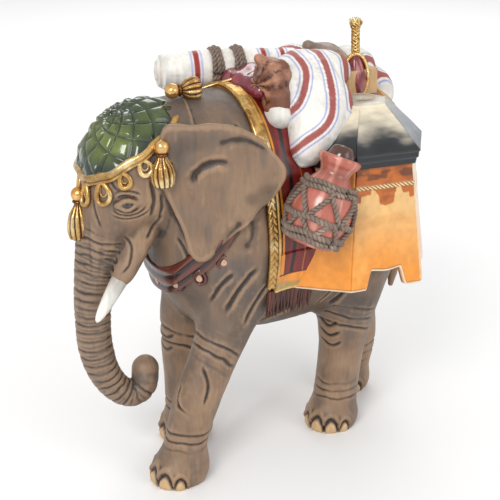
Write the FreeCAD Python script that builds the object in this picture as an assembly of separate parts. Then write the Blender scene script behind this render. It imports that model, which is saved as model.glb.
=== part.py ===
import FreeCAD, Part
import math
import os

V = FreeCAD.Vector
UP = V(0, 0, 1)

# Driving dimensions, millimetres. The elephant faces -Y, its left side is +X, and it stands on Z = 0.
BOX_CENTRE = V(1.07, -1.06, 0)      # middle of the whole figure, seen from above, in the body's own axes
GIRTH_HEIGHT = 92.0              # height of the widest part of the barrel
BODY_HALF_WIDTH = 30.5
BODY_HALF_DEPTH = 44.5
HEAD_TURN = -12.0                # degrees, towards the elephant's right
HEAD_PIVOT = V(0, -34, 0)
EAR_THICK = 3.0
EAR_SPREAD = 20.0                # degrees between an ear and the neck
EAR_ROOT = V(18.0, -42.5, 0)
EYE_RADIUS = 2.2
CAP_THICK = 2.4
RIM_TILT = 30.0                  # degrees, the cap's rim climbs from the brow to the nape
BLANKET_THICK = 1.6
BLANKET_FRONT = -16.0
BLANKET_REAR = 52.0
BLANKET_HEM = 86.0
PANNIER_CENTRE = V(21.5, 28.5, 0)
PANNIER_TURN = -11.5             # degrees, the long face toes out to the rear
PANNIER_TOP = 114.0
PANNIER_BASE = 70.5
PANNIER_TOP_SIDE = 22.0
PANNIER_BASE_SIDE = 28.0
PANNIER_WALL = 2.4
PANNIER_LONG_CORNER = (0.40, -1.175)  # front corner, as a share of the side
ARCH_HALF_SPAN = 8.0
ARCH_HEIGHT = 6.5
ROOF_TOP = 133.0                 # the roof is a low pyramid cut flat
ROOF_TOP_SIDE = 10.0
ROOF_EAVE = 2.2
ROOF_FASCIA = 4.5
ROLL_RADIUS = 6.6
ROLL_END = V(-21.5, -27.5, 141.5)
ROLL_TURN = -20.0                # degrees, the roll runs inwards to the rear
ROPE_RADIUS = 1.3
DOWEL_RADIUS = 2.5
BAG_X = 9.5                      # the small bag hanging among the load
BAG_Y = 34.5

placed = {}


def ellipse(centre, radius_x, radius_y, axis_x=V(1, 0, 0), axis_y=V(0, 1, 0)):
    """Closed smooth wire of the given half widths."""
    normal = axis_x.cross(axis_y)
    major, minor, along = radius_x, radius_y, axis_x
    if radius_y > radius_x:
        major, minor, along = radius_y, radius_x, axis_y
    curve = Part.Ellipse(V(0, 0, 0), major, minor * 0.9999)
    wire = Part.Wire([curve.toShape()])
    wire.Placement = FreeCAD.Placement(centre, FreeCAD.Rotation(along, normal.cross(along), normal, "XZY"))
    return wire


def loft(wires, ruled=False):
    """Smooth or straight-sided solid through closed wires, outward facing."""
    solid = Part.makeLoft(wires, True, ruled)
    if solid.Volume < 0:
        solid.reverse()
    return solid


def upright(stations):
    """Solid through level ellipses: (z, x, y, half width, half length)."""
    return loft([ellipse(V(x, y, z), rx, ry) for z, x, y, rx, ry in stations])


def lengthwise(stations, grow=0.0):
    """Solid through cross sections square to Y: (y, x, z, half width, half height)."""
    return loft([ellipse(V(x, y, z), rx + grow, rz + grow, V(1, 0, 0), UP)
                 for y, x, z, rx, rz in stations])


def limb(points):
    """Round solid through (x, y, z, radius) points, each section square to the path."""
    spots = [V(*p[:3]) for p in points]
    wires = []
    for i, point in enumerate(points):
        before = spots[max(i - 1, 0)]
        after = spots[min(i + 1, len(spots) - 1)]
        wires.append(Part.Wire([Part.Circle(spots[i], after - before, point[3]).toShape()]))
    return loft(wires)


def blob(centre, size, turn=FreeCAD.Rotation()):
    """Ellipsoid of the given half sizes."""
    ball = Part.makeSphere(1.0)
    scale = FreeCAD.Matrix()
    scale.scale(V(*size))
    egg = ball.transformGeometry(scale)
    egg.Placement = FreeCAD.Placement(V(*centre), turn)
    return egg


def box_between(low, high):
    low, high = V(*low), V(*high)
    size = high - low
    return Part.makeBox(size.x, size.y, size.z, low)


def pin(start, end, radius):
    start, end = V(*start), V(*end)
    along = end - start
    return Part.makeCylinder(radius, along.Length, start, along)


def closed_spline(points):
    curve = Part.BSplineCurve()
    curve.interpolate(Points=points, PeriodicFlag=True)
    return Part.Wire([curve.toShape()])


def mirrored(shape):
    return shape.mirror(V(0, 0, 0), V(1, 0, 0))


def turned_head(shape):
    """Carry a shape from the straight head to the turned one."""
    moved = shape.copy()
    moved.rotate(HEAD_PIVOT, UP, HEAD_TURN)
    return moved


def main_solids(shape, least=2.0):
    """Solids of a boolean's result that are more than slivers."""
    solids = [s for s in shape.Solids if s.Volume > least]
    return solids[0] if len(solids) == 1 else Part.makeCompound(solids)


def tight_box(shape):
    """Bounding box of the surface itself, not of its control points."""
    shape.tessellate(1.0)
    return shape.optimalBoundingBox(True, False)


def seat(name, shape, least=2.0):
    """Add a piece, hollowed where it sits on the pieces already in place."""
    reach = tight_box(shape)
    for other, other_reach in placed.values():
        if reach.intersect(other_reach):
            shape = shape.cut(other)
    shape = main_solids(shape, least)
    placed[name] = (shape, tight_box(shape))


def torso_shape(grow=0.0):
    """Barrel of the body, from chest to rump."""
    r, d, z = BODY_HALF_WIDTH, BODY_HALF_DEPTH, GIRTH_HEIGHT
    stations = [(-43.5, 0, z - 6, 7, 10), (-39, 0, z - 2, 16, 24), (-27, 0, z, 25, 39),
                (-6, 0, z, r - 1.5, d), (18, 0, z, r, d), (38, 0, z, r - 1.5, d - 2.5),
                (53, 0, z, r - 7, d - 10), (63, 0, z - 2, 14, 20), (66.5, 0, z - 4, 6, 9)]
    return lengthwise(stations, grow)


def neck_shape(grow=0.0):
    stations = [(-52, -4, 114, 14, 18), (-42, -2, 112, 18, 24), (-28, 0, 110, 22, 28.5),
                (-12, 0, 108, 24, 30)]
    return lengthwise(stations, grow)


def skull_shape(grow=0.0):
    """Skull and cheeks, straight ahead, down to the root of the trunk."""
    stations = [(-33, 0, 116, 9, 13), (-37, 0, 115, 14, 19), (-44, 0, 114.5, 17.5, 22),
                (-52, 0, 113, 18, 22.5), (-59.5, 0, 110, 16, 21.5), (-64.5, 0, 107, 11.5, 17),
                (-67, 0, 105, 6, 10)]
    return lengthwise(stations, grow)


def trunk_shape():
    """Trunk from the brow to the curled tip, which rests on the right foreleg."""
    path = [(0, -55, 105, 12), (0, -60, 96, 10.8), (0, -63.2, 85, 9), (0, -65.6, 74, 7.2),
            (0, -66.6, 63, 6.5), (0, -66.4, 52, 6.2), (0, -64.4, 42, 5.8), (0, -60, 33.5, 5.4),
            (0.3, -54, 29.4, 5.1), (0.2, -48.6, 32.5, 4.9), (-0.5, -47.6, 40, 4.8)]
    return turned_head(limb(path))


def leg_shapes():
    """Four walking legs: (z, x, y, half width, half length) from the sole up into the body."""
    return {
        "leg_front_left": [(0, 14, -44.5, 9.9, 10.7), (4.5, 14, -44.3, 10.2, 11),
                           (9, 14, -42.8, 9.2, 9.8), (15, 14, -41, 7.8, 8.2), (27, 14, -37.6, 8.0, 8.6),
                           (47, 14, -28.2, 8.4, 9.2), (64, 14.5, -21.6, 10, 11.5), (84, 15, -17, 12, 14),
                           (98, 14, -14, 10, 12)],
        "leg_front_right": [(0, -13, -26, 9.8, 10.7), (4.5, -13, -25.8, 10, 10.7), (9, -13.5, -25, 8.6, 9.2),
                            (21, -14, -24.6, 8, 8.6), (41, -14, -25.2, 8.4, 9), (56, -13.5, -24, 9.4, 10),
                            (80, -12.5, -18, 11, 12), (98, -12, -15, 9, 10)],
        "leg_rear_left": [(0, 11, 26.4, 9.5, 10.3), (4.5, 11, 26.6, 9.7, 10.4), (10, 10.5, 28.6, 8.5, 9),
                          (23, 10.3, 30.2, 8.2, 8.8), (35, 10.5, 31.4, 8.7, 9.4), (47, 11, 32, 10.2, 11.5),
                          (64, 12, 33, 12.5, 15.5), (84, 14, 35, 13, 16), (98, 13, 36, 11, 13)],
        "leg_rear_right": [(0, -12, 50.5, 9.2, 9.8), (4.5, -12, 50.8, 9.4, 10), (10, -12, 53, 8.4, 8.8),
                           (22, -12.5, 55.5, 8.6, 9.6), (35, -13, 53.5, 9.6, 11), (47, -13, 49, 11, 13),
                           (64, -13, 43, 13, 16.5), (84, -14, 39, 13, 16.5), (98, -13, 38, 11, 13)],
    }


def ear_shape():
    """Left ear: a broad blade on the side of the straight head, swung away from the neck."""
    outline = [(-2, 132), (8, 133), (18, 133), (26, 130.5), (33, 125), (38, 118), (36.5, 111),
               (30, 102.5), (22, 95.5), (15.5, 89.5), (10.4, 85.6), (6.4, 88), (3.5, 97.7), (0, 106),
               (-3, 118)]
    blade = Part.Face(closed_spline([V(0, u, z) for u, z in outline])).extrude(V(EAR_THICK, 0, 0))
    blade.rotate(V(0, 0, 0), UP, -EAR_SPREAD)
    blade.translate(EAR_ROOT)
    return blade


def tusk_shape():
    path = [(9.5, -53, 88, 2.9), (10.5, -56.5, 83, 2.8), (11.6, -61, 76.5, 2.4),
            (12.2, -65.5, 69.5, 1.7), (12.4, -68.3, 64.8, 0.9)]
    return limb(path)


def tassel(bead, drop, width):
    """Round bead with a fluted bell hanging from it, along the given direction."""
    drop = V(*drop)
    profile = [(0.7, -2.2), (1.9, -1.4), (2.3, 0), (1.8, 1.4), (1.4, 2.6), (width, 7.6), (width * 1.08, 10.8),
               (width * 0.8, drop.Length + 1)]
    bell = loft([Part.Wire([Part.Circle(V(0, 0, z), UP, r).toShape()]) for r, z in profile], ruled=True)
    bell.Placement = FreeCAD.Placement(V(*bead), FreeCAD.Rotation(UP, drop))
    return bell


def rim_wedge(low, high):
    """Slab between two tilted planes round the head; the rim climbs from the brow to the nape."""
    slab = box_between((-60, -60, low), (60, 60, high))
    slab.rotate(V(0, 0, 0), V(1, 0, 0), RIM_TILT)
    slab.translate(V(0, -55, 122.6))
    return slab


def head_pieces():
    eye = Part.makeSphere(EYE_RADIUS, V(15.6, -57, 107.4))
    seat("eyes", turned_head(Part.makeCompound([eye, mirrored(eye)])))
    seat("tusk_left", turned_head(tusk_shape()))
    seat("tusk_right", turned_head(mirrored(tusk_shape())))
    seat("head", turned_head(skull_shape()))
    seat("trunk", trunk_shape())
    cap = skull_shape(CAP_THICK).common(rim_wedge(0, 60))
    seat("skullcap", turned_head(cap))
    lace = skull_shape(1.2).common(rim_wedge(-4.2, 0))
    seat("cap_lace", turned_head(lace))
    seat("ear_left", turned_head(ear_shape()))
    seat("ear_right", turned_head(mirrored(ear_shape())))
    tassels = {"front": ((0.5, -69.6, 107.5), (0, -0.5, -15)),
               "back": ((3, -36.5, 140.6), (0, 9, 0.4)),
               "left": ((19.4, -45.5, 126.5), (0.6, 0, -12.5)),
               "right": ((-19.4, -45.5, 126.5), (-0.6, 0, -12.5))}
    for side, (bead, drop) in tassels.items():
        seat("tassel_" + side, turned_head(tassel(bead, drop, 3.6)), 10.0)


def collar_pieces():
    """Neck band tilted low at the chest, with drop pendants on it."""
    base = V(0, -30, 96)
    slab = box_between((-60, -60, -3), (60, 60, 3))
    slab.rotate(V(0, 0, 0), V(1, 0, 0), 58)
    slab.translate(base)
    outer = neck_shape(1.8).fuse(torso_shape(1.8))
    front = box_between((-60, -60, 40), (60, -18, 150))
    seat("collar", outer.common(slab).common(front))
    drops = []
    for step in range(-3, 4):
        angle = math.radians(step * 24)
        rise = 1 - math.cos(angle)
        drops.append(blob((24 * math.sin(angle), -42.5 + 18 * rise, 73 + 17 * rise), (2.6, 1.8, 3.4)))
    seat("collar_pendants", Part.makeCompound(drops))


def dress_pieces():
    """Blanket over the back, its braid, the side panels and the fringes."""
    length = BLANKET_REAR - BLANKET_FRONT
    over = torso_shape(BLANKET_THICK)
    upper = box_between((-60, BLANKET_FRONT, BLANKET_HEM), (60, BLANKET_REAR, 200))
    seat("saddle_blanket", over.common(upper))
    thick = torso_shape(BLANKET_THICK + 1.4)
    edges = [box_between((-60, y, 72), (60, y + 4.5, 200)) for y in (BLANKET_FRONT - 1, BLANKET_REAR - 3.5)]
    seat("blanket_braid", thick.common(Part.makeCompound(edges)))
    for side, flip in (("left", False), ("right", True)):
        front, rear = BLANKET_FRONT + 3.5, BLANKET_FRONT + length - 3.5
        panel_box = box_between((15, front, 71), (60, rear, BLANKET_HEM))
        fringe_box = box_between((15, BLANKET_FRONT + 1, 60), (60, 4, 71))
        for name, shell, region in (("side_panel_", torso_shape(BLANKET_THICK + 0.8), panel_box),
                                    ("fringe_", torso_shape(3.0), fringe_box)):
            piece = shell.common(region)
            seat(name + side, mirrored(piece) if flip else piece)


def pannier_corner(index, side, z):
    """Corner of the pannier's plan: a hexagon with its front corner drawn out along the blanket."""
    angle = math.radians(60 * index + 30)
    x, y = PANNIER_LONG_CORNER if index % 6 == 4 else (math.cos(angle), math.sin(angle))
    return V(side * x, side * y, z)


def hexagon(side, z):
    return Part.makePolygon([pannier_corner(index, side, z) for index in range(7)])


def frustum(side_low, z_low, side_high, z_high):
    return Part.makeLoft([hexagon(side_low, z_low), hexagon(side_high, z_high)], True, True)


def pannier_body():
    """Six sided flared basket, open below, an arch in the foot of every face but the front one."""
    shell = frustum(PANNIER_BASE_SIDE, PANNIER_BASE, PANNIER_TOP_SIDE, PANNIER_TOP)
    slope = (PANNIER_BASE_SIDE - PANNIER_TOP_SIDE) / (PANNIER_TOP - PANNIER_BASE)
    inside = frustum(PANNIER_BASE_SIDE - PANNIER_WALL + slope, PANNIER_BASE - 1,
                     PANNIER_TOP_SIDE - PANNIER_WALL, PANNIER_TOP - 6)
    shell = shell.cut(inside)
    for index in (0, 1, 2, 3, 5):
        start = pannier_corner(index, PANNIER_BASE_SIDE, 0)
        end = pannier_corner(index + 1, PANNIER_BASE_SIDE, 0)
        arch = box_between((-12, -ARCH_HALF_SPAN, PANNIER_BASE - 5),
                           (12, ARCH_HALF_SPAN, PANNIER_BASE + ARCH_HEIGHT))
        arch.rotate(V(0, 0, 0), UP, math.degrees(math.atan2(start.x - end.x, end.y - start.y)))
        arch.translate((start + end) / 2)
        shell = shell.cut(arch)
    return shell


def pannier_roof():
    """Flat topped pyramid lid with a stepped fascia below its eaves."""
    eave_side = PANNIER_TOP_SIDE + ROOF_EAVE
    fascia = frustum(eave_side - 1.0, PANNIER_TOP, eave_side, PANNIER_TOP + ROOF_FASCIA)
    slope = frustum(eave_side + 0.6, PANNIER_TOP + ROOF_FASCIA, ROOF_TOP_SIDE, ROOF_TOP)
    return fascia.fuse(slope)


def pannier_pieces():
    for side, flip in (("left", False), ("right", True)):
        for name, shape in (("pannier_", pannier_body()), ("pannier_roof_", pannier_roof())):
            shape.rotate(V(0, 0, 0), UP, PANNIER_TURN)
            shape.translate(PANNIER_CENTRE)
            shape = shape.common(box_between((12, -60, 0), (80, 90, 200)))
            seat(name + side, mirrored(shape) if flip else shape, 20.0)


def jug_pieces():
    """Wide mouthed jar on the left shoulder of the load, tilted outwards, in a rope net."""
    foot, tilt = V(38, -5.5, 90.5), FreeCAD.Rotation(V(1, 0, 0), -24)
    profile = [(7, 0), (9.6, 4), (10.6, 11), (9.8, 18), (7.2, 22.5), (5.4, 26), (6.2, 29), (7.0, 31)]
    rings = [Part.Wire([Part.Circle(V(0, 0, z), UP, r).toShape()]) for r, z in profile]
    jug = loft(rings)
    mouth = Part.makeCone(3.6, 5.4, 6.5, V(0, 0, 25))
    stopper = Part.makeSphere(4.1, V(0, 0, 30.2))
    net = []
    for z, r in ((3.5, 9.6), (9.5, 10.9), (17.5, 10.3)):
        net.append(Part.makeTorus(r, ROPE_RADIUS, V(0, 0, z)))
    pieces = {"jug_stopper": stopper, "jug": jug.cut(mouth), "jug_net": Part.makeCompound(net)}
    for name, shape in pieces.items():
        shape.Placement = FreeCAD.Placement(foot, tilt)
        seat(name, shape)


def load_pieces():
    """Everything lashed on top of the back."""
    seat("pack_block", box_between((-13, -2, 132), (13, 42, 141)))
    seat("saddle_cushion", blob((-2, 0, 139.5), (15, 9.5, 5)))
    r = ROLL_RADIUS
    roll = lengthwise([(0, 0, 0, r * 0.4, r * 0.4), (2, 0, 0, r, r), (24, 0, 0, r, r), (46, 0, 0, r, r),
                       (48, 0, 0, r * 0.4, r * 0.4)])
    ties = [Part.makeTorus(r + 0.2, ROPE_RADIUS, V(0, y, 0), V(0, 1, 0)) for y in (19, 27)]
    for name, shape in (("bedroll", roll), ("bedroll_ropes", Part.makeCompound(ties))):
        shape.Placement = FreeCAD.Placement(ROLL_END, FreeCAD.Rotation(ROLL_TURN, 0, 0))
        seat(name, shape, 1.0)
    striped = upright([(114, 27, 3, 3, 5), (118, 26, 5, 7, 9), (126, 24, 8, 9, 11), (134, 20, 11, 11, 13),
                       (141, 13, 14, 12, 14), (147, 8, 16, 9, 13), (149.5, 7, 17, 5, 8)])
    seat("striped_bundle_left", striped)
    seat("striped_bundle_right", mirrored(upright([(116, 27, 10, 4, 6), (124, 25, 14, 8, 11),
                                                   (134, 20, 20, 10, 14), (142, 14, 26, 9, 14),
                                                   (147, 11, 28, 5, 8)])))
    seat("brown_bundle", blob((9, 0, 142), (6.5, 6.5, 7)).fuse(blob((13.5, 0.5, 134), (6, 6, 6.5))))
    seat("white_sack", blob((17, -3, 132.5), (5.5, 5, 5.5)))
    seat("taupe_bundle", blob((-4, 30, 142), (9, 10, 6.5)))
    seat("rear_bundle", blob((-5, 44, 139), (10, 8, 7)).fuse(blob((-6, 53, 128), (12, 8, 9.5))))
    bag = [(132, 2), (136, 3.4), (141, 3.2), (145.5, 1.2)]
    seat("maroon_bag", limb([(BAG_X, BAG_Y, z, radius) for z, radius in bag]))
    tie = [(145, 1.5), (150, 1.4), (155, 1.6), (160, 2.1)]
    seat("gold_tie", upright([(z, BAG_X, BAG_Y - (z - 145) / 25, radius, radius) for z, radius in tie]))
    rod = pin((3.5, -6.5, 141.5), (4, 5, 148), 0.7)
    seat("goad_rod", rod)


def dowels():
    """Glue pins hidden in the joints."""
    seat("neck_dowel", pin((-2, -47, 112), (0, -24, 110), DOWEL_RADIUS * 1.4))
    legs = [((14.5, -19, 70), (14, -16, 90)),
            ((-14.7, -23, 70), (-14, -20, 90)),
            ((12.5, 34, 70), (13, 36, 90)),
            ((-13.3, 42, 70), (-13.5, 40, 90))]
    seat("leg_dowels", Part.makeCompound([pin(low, high, DOWEL_RADIUS) for low, high in legs]))
    seat("load_dowels", Part.makeCompound([pin((0, y, 120), (0, y, 138), DOWEL_RADIUS) for y in (8, 38)]))


dowels()
seat("body", torso_shape().fuse(neck_shape()))
head_pieces()
for name, stations in leg_shapes().items():
    seat(name, upright(stations))
seat("tail", limb([(0, 63, 106, 3.2), (0, 67.5, 100, 2.6), (0, 69, 88, 2.0), (-1, 69, 74, 1.6),
                   (-2, 67.5, 60, 1.6), (-2.5, 66, 52, 2.2), (-2.5, 65.5, 44, 0.8)]))
dress_pieces()
collar_pieces()
pannier_pieces()
load_pieces()
jug_pieces()

os.makedirs("parts", exist_ok=True)
total = FreeCAD.BoundBox()
for name, (shape, reach) in placed.items():
    shape = shape.copy()
    shape.translate(V(0, 0, 0) - BOX_CENTRE)
    total.add(reach)
    shape.exportStep("parts/" + name + ".step")
    state = "valid" if shape.isValid() else "INVALID"
    print(name, len(shape.Solids), "solids", round(shape.Volume), "mm3", state)
print("box before centring", total)
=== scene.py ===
"""Painted wooden elephant under a load: the looks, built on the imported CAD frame.

Shapes are worked out in millimetres in the elephant's own axes, the ones that the CAD dimensions use:
it faces -Y, its left side is +X, the floor is Z = 0. SHIFT carries them to the frame's metres.
"""
import math

import bpy
import numpy as np
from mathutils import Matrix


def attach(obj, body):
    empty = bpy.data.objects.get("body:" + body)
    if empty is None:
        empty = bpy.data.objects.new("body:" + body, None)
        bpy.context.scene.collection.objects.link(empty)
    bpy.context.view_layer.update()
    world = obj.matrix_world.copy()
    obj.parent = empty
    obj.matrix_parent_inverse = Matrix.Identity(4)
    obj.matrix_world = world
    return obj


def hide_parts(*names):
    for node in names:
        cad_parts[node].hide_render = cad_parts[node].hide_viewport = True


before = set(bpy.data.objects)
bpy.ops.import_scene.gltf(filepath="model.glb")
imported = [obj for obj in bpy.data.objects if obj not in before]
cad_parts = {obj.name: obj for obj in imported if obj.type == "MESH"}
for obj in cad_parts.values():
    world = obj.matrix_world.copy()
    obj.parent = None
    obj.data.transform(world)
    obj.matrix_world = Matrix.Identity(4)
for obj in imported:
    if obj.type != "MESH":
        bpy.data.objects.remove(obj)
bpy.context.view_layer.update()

import openvdb
from mathutils import Vector

MM = 0.001                                  # metres in a millimetre
SHIFT = np.array([-1.07, 1.06, 0.0])        # millimetres from the elephant's own axes to the frame's
HEAD_TURN = math.radians(-12)               # the head looks a little to the elephant's right
HEAD_PIVOT = np.array([0.0, -34.0, 0.0])    # where the neck turns


# ---------------------------------------- vectors, noise and splines

def unit(v):
    v = np.asarray(v, float)
    return v / np.maximum(np.linalg.norm(v, axis=-1, keepdims=True), 1e-9)


def turn_head(points):
    """Straight-head coordinates to the turned head's place."""
    p = np.asarray(points, float) - HEAD_PIVOT
    c, s = math.cos(HEAD_TURN), math.sin(HEAD_TURN)
    out = np.stack([c * p[..., 0] - s * p[..., 1], s * p[..., 0] + c * p[..., 1], p[..., 2]], -1)
    return out + HEAD_PIVOT


def straight_head(points):
    """The other way round: where a point would be if the head looked straight ahead."""
    p = np.asarray(points, float) - HEAD_PIVOT
    c, s = math.cos(HEAD_TURN), math.sin(HEAD_TURN)
    out = np.stack([c * p[..., 0] + s * p[..., 1], -s * p[..., 0] + c * p[..., 1], p[..., 2]], -1)
    return out + HEAD_PIVOT


def spline(points, count):
    """Catmull-Rom curve through the rows of points, resampled to count rows."""
    p = np.asarray(points, float)
    p = np.vstack([2 * p[0] - p[1], p, 2 * p[-1] - p[-2]])
    t = np.linspace(0, len(p) - 3 - 1e-6, count)
    i = t.astype(int)
    f = (t - i)[:, None]
    a, b, c, d = p[i], p[i + 1], p[i + 2], p[i + 3]
    return 0.5 * (2 * b + (c - a) * f + (2 * a - 5 * b + 4 * c - d) * f ** 2
                  + (3 * b - a - 3 * c + d) * f ** 3)


def closed_spline(points, count):
    p = np.asarray(points, float)
    t = np.linspace(0, len(p), count, endpoint=False)
    i = t.astype(int)
    f = (t - i)[:, None]
    a, b, c, d = (p[(i + k) % len(p)] for k in (-1, 0, 1, 2))
    return 0.5 * (2 * b + (c - a) * f + (2 * a - 5 * b + 4 * c - d) * f ** 2
                  + (3 * b - a - 3 * c + d) * f ** 3)


def smoothstep(low, high, x):
    t = np.clip((x - low) / (high - low), 0, 1)
    return t * t * (3 - 2 * t)


def lattice(ix, iy, iz, seed):
    h = (ix * 374761393 + iy * 668265263 + iz * 1274126177 + seed * 362437) & 0xFFFFFFFF
    h = ((h ^ (h >> 13)) * 1103515245) & 0xFFFFFFFF
    h = (h ^ (h >> 16)) & 0xFFFF
    return h / 32767.5 - 1


def noise(points, size, seed=0):
    """Smooth random field between -1 and 1 with bumps of the given size."""
    q = np.asarray(points, float) / size + 1000.0
    i = np.floor(q).astype(np.int64)
    f = q - i
    f = f * f * (3 - 2 * f)
    total = 0
    for dx in (0, 1):
        for dy in (0, 1):
            for dz in (0, 1):
                w = (np.abs(1 - dx - f[..., 0]) * np.abs(1 - dy - f[..., 1]) * np.abs(1 - dz - f[..., 2]))
                total = total + w * lattice(i[..., 0] + dx, i[..., 1] + dy, i[..., 2] + dz, seed)
    return total


def fbm(points, size, octaves=3, seed=0):
    total, gain = 0, 1.0
    for k in range(octaves):
        total = total + gain * noise(points, size / 2 ** k, seed + k)
        gain *= 0.5
    return total


# ---------------------------------------- clay: signed distances on a grid

class Clay:
    """Block of signed distances in millimetres that shapes are pressed into."""

    def __init__(self, low, high, step):
        self.low, self.step = np.array(low, float), step
        size = np.ceil((np.array(high, float) - self.low) / step).astype(int) + 1
        self.axes = [(self.low[k] + step * np.arange(size[k])).astype(np.float32) for k in range(3)]
        self.far = 30.0
        self.d = np.full(size, self.far, np.float32)
        self.owner = np.zeros(size, np.int8)

    def window(self, low, high, pad):
        cut = []
        for k in range(3):
            a = int(np.floor((low[k] - pad - self.low[k]) / self.step))
            b = int(np.ceil((high[k] + pad - self.low[k]) / self.step)) + 1
            cut.append(slice(max(a, 0), max(min(b, len(self.axes[k])), 0)))
        return tuple(cut)

    def block(self, cut):
        return (self.axes[0][cut[0]][:, None, None], self.axes[1][cut[1]][None, :, None],
                self.axes[2][cut[2]][None, None, :])

    def blend(self, cut, new, soft, label=None):
        old = self.d[cut]
        if label is not None:
            own = self.owner[cut]
            own[new < old] = label
        h = np.maximum(soft - np.abs(old - new), 0) / soft
        self.d[cut] = np.minimum(old, new) - h * h * soft * 0.25

    def carve(self, cut, new, soft):
        """Take the shape away again, with a rounded edge."""
        old, new = self.d[cut], -new
        h = np.maximum(soft - np.abs(old - new), 0) / soft
        self.d[cut] = np.maximum(old, new) + h * h * soft * 0.25

    def limb(self, points, soft=3.0, label=None, flat=(1, 1, 1), remove=False, dense=1.3):
        """Round limb through (x, y, z, radius) rows; flat squeezes it along an axis."""
        rows = np.asarray(points, float)
        length = np.linalg.norm(np.diff(rows[:, :3], axis=0), axis=1).sum()
        rows = spline(rows, max(int(length / dense), 3))
        reach = rows[:, 3].max()
        whole = self.window(rows[:, :3].min(0), rows[:, :3].max(0), reach + soft + 3 * self.step)
        x, y, z = self.block(whole)
        if x.size * y.size * z.size == 0:
            return
        field = np.full(self.d[whole].shape, self.far, np.float32)
        for a, b in zip(rows[:-1], rows[1:]):
            pad = max(a[3], b[3]) + soft + 3 * self.step
            part = self.window(np.minimum(a[:3], b[:3]), np.maximum(a[:3], b[:3]), pad)
            x, y, z = self.block(part)
            local = tuple(slice(p.start - w.start, p.stop - w.start) for p, w in zip(part, whole))
            ab = (b - a)[:3]
            span = max(float(ab @ ab), 1e-9)
            px, py, pz = x - a[0], y - a[1], z - a[2]
            t = np.clip((px * ab[0] + py * ab[1] + pz * ab[2]) / span, 0, 1)
            dx, dy, dz = (px - t * ab[0]) / flat[0], (py - t * ab[1]) / flat[1], (pz - t * ab[2]) / flat[2]
            d = np.sqrt(dx * dx + dy * dy + dz * dz) - (a[3] + t * (b[3] - a[3]))
            field[local] = np.minimum(field[local], d.astype(np.float32))
        (self.carve(whole, field, soft) if remove else self.blend(whole, field, soft, label))

    def egg(self, centre, size, soft=3.0, label=None, turn=None, remove=False):
        """Ellipsoid of the given half sizes; turn is a rotation matrix."""
        centre, size = np.asarray(centre, float), np.asarray(size, float)
        reach = size.max()
        cut = self.window(centre, centre, reach + soft + 3 * self.step)
        x, y, z = self.block(cut)
        if x.size * y.size * z.size == 0:
            return
        p = [x - centre[0], y - centre[1], z - centre[2]]
        if turn is not None:
            m = np.asarray(turn, float).T
            p = [m[r][0] * p[0] + m[r][1] * p[1] + m[r][2] * p[2] for r in range(3)]
        k = np.sqrt(sum((p[r] / size[r]) ** 2 for r in range(3))) + 1e-6
        g = np.sqrt(sum((p[r] / size[r] ** 2) ** 2 for r in range(3))) + 1e-6
        d = (k * (k - 1) / g).astype(np.float32)
        (self.carve(cut, d, soft) if remove else self.blend(cut, d, soft, label))

    def barrel(self, stations, soft=3.0, label=None, straight=False):
        """Solid of ellipses square to Y: (y, x, z, half width, half height), with rounded ends."""
        rows = np.asarray(sorted(stations), float)
        rows[:, 3:] = rows[:, 3:] ** 2
        fine = spline(rows, 160)
        fine = fine[np.argsort(fine[:, 0])]
        wide, tall = rows[:, 3].max() ** 0.5 + 12, rows[:, 4].max() ** 0.5
        low = [rows[:, 1].min() - wide, rows[0, 0] - 6, rows[:, 2].min() - tall]
        high = [rows[:, 1].max() + wide, rows[-1, 0] + 6, rows[:, 2].max() + tall]
        cut = self.window(low, high, soft + 3 * self.step)
        x, y, z = self.block(cut)
        if straight:
            c, s = math.cos(HEAD_TURN), math.sin(HEAD_TURN)
            px, py = x - HEAD_PIVOT[0], y - HEAD_PIVOT[1]
            x, y = c * px + s * py + HEAD_PIVOT[0], -s * px + c * py + HEAD_PIVOT[1]
        x0, z0, rx2, rz2 = (np.interp(y, fine[:, 0], fine[:, k], left=fine[0, k], right=fine[-1, k])
                            for k in (1, 2, 3, 4))
        beyond = np.maximum(fine[0, 0] - y, 0) + np.maximum(y - fine[-1, 0], 0)
        rx, rz = np.sqrt(np.maximum(rx2, 0.3)), np.sqrt(np.maximum(rz2, 0.3))
        mean = np.sqrt(np.maximum(fine[:, 3], 0.3)) * 0.5 + np.sqrt(np.maximum(fine[:, 4], 0.3)) * 0.5
        slope = np.interp(y, fine[:, 0], np.gradient(mean, fine[:, 0] + np.arange(len(fine)) * 1e-6))
        px, pz = x - x0, z - z0
        k = np.sqrt((px / rx) ** 2 + (pz / rz) ** 2) + 1e-6
        g = np.sqrt((px / rx ** 2) ** 2 + (pz / rz ** 2) ** 2) / k + 1e-6
        d = (k - 1) / g / np.sqrt(1 + np.clip(slope, -4, 4) ** 2) + beyond
        self.blend(cut, d.astype(np.float32), soft, label)

    def sample(self, points):
        """Signed distance at any points, by trilinear interpolation."""
        q = (np.asarray(points, float) - self.low) / self.step
        top = np.array(self.d.shape) - 1.001
        q = np.clip(q, 0, top)
        i = q.astype(int)
        f = q - i
        total = 0
        for dx in (0, 1):
            for dy in (0, 1):
                for dz in (0, 1):
                    w = (np.abs(1 - dx - f[..., 0]) * np.abs(1 - dy - f[..., 1]) * np.abs(1 - dz - f[..., 2]))
                    total = total + w * self.d[i[..., 0] + dx, i[..., 1] + dy, i[..., 2] + dz]
        return total

    def slope(self, points):
        e = self.step
        grad = [self.sample(points + np.eye(3)[k] * e) - self.sample(points - np.eye(3)[k] * e)
                for k in range(3)]
        return unit(np.stack(grad, -1))

    def wrap(self, points, height=0.0, rounds=12):
        """Slide points along the field's slope until they lie at the given height over the surface."""
        p = np.array(points, float)
        for _ in range(rounds):
            p = p - np.clip(self.sample(p) - height, -4, 4)[..., None] * self.slope(p)
        return p

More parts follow.
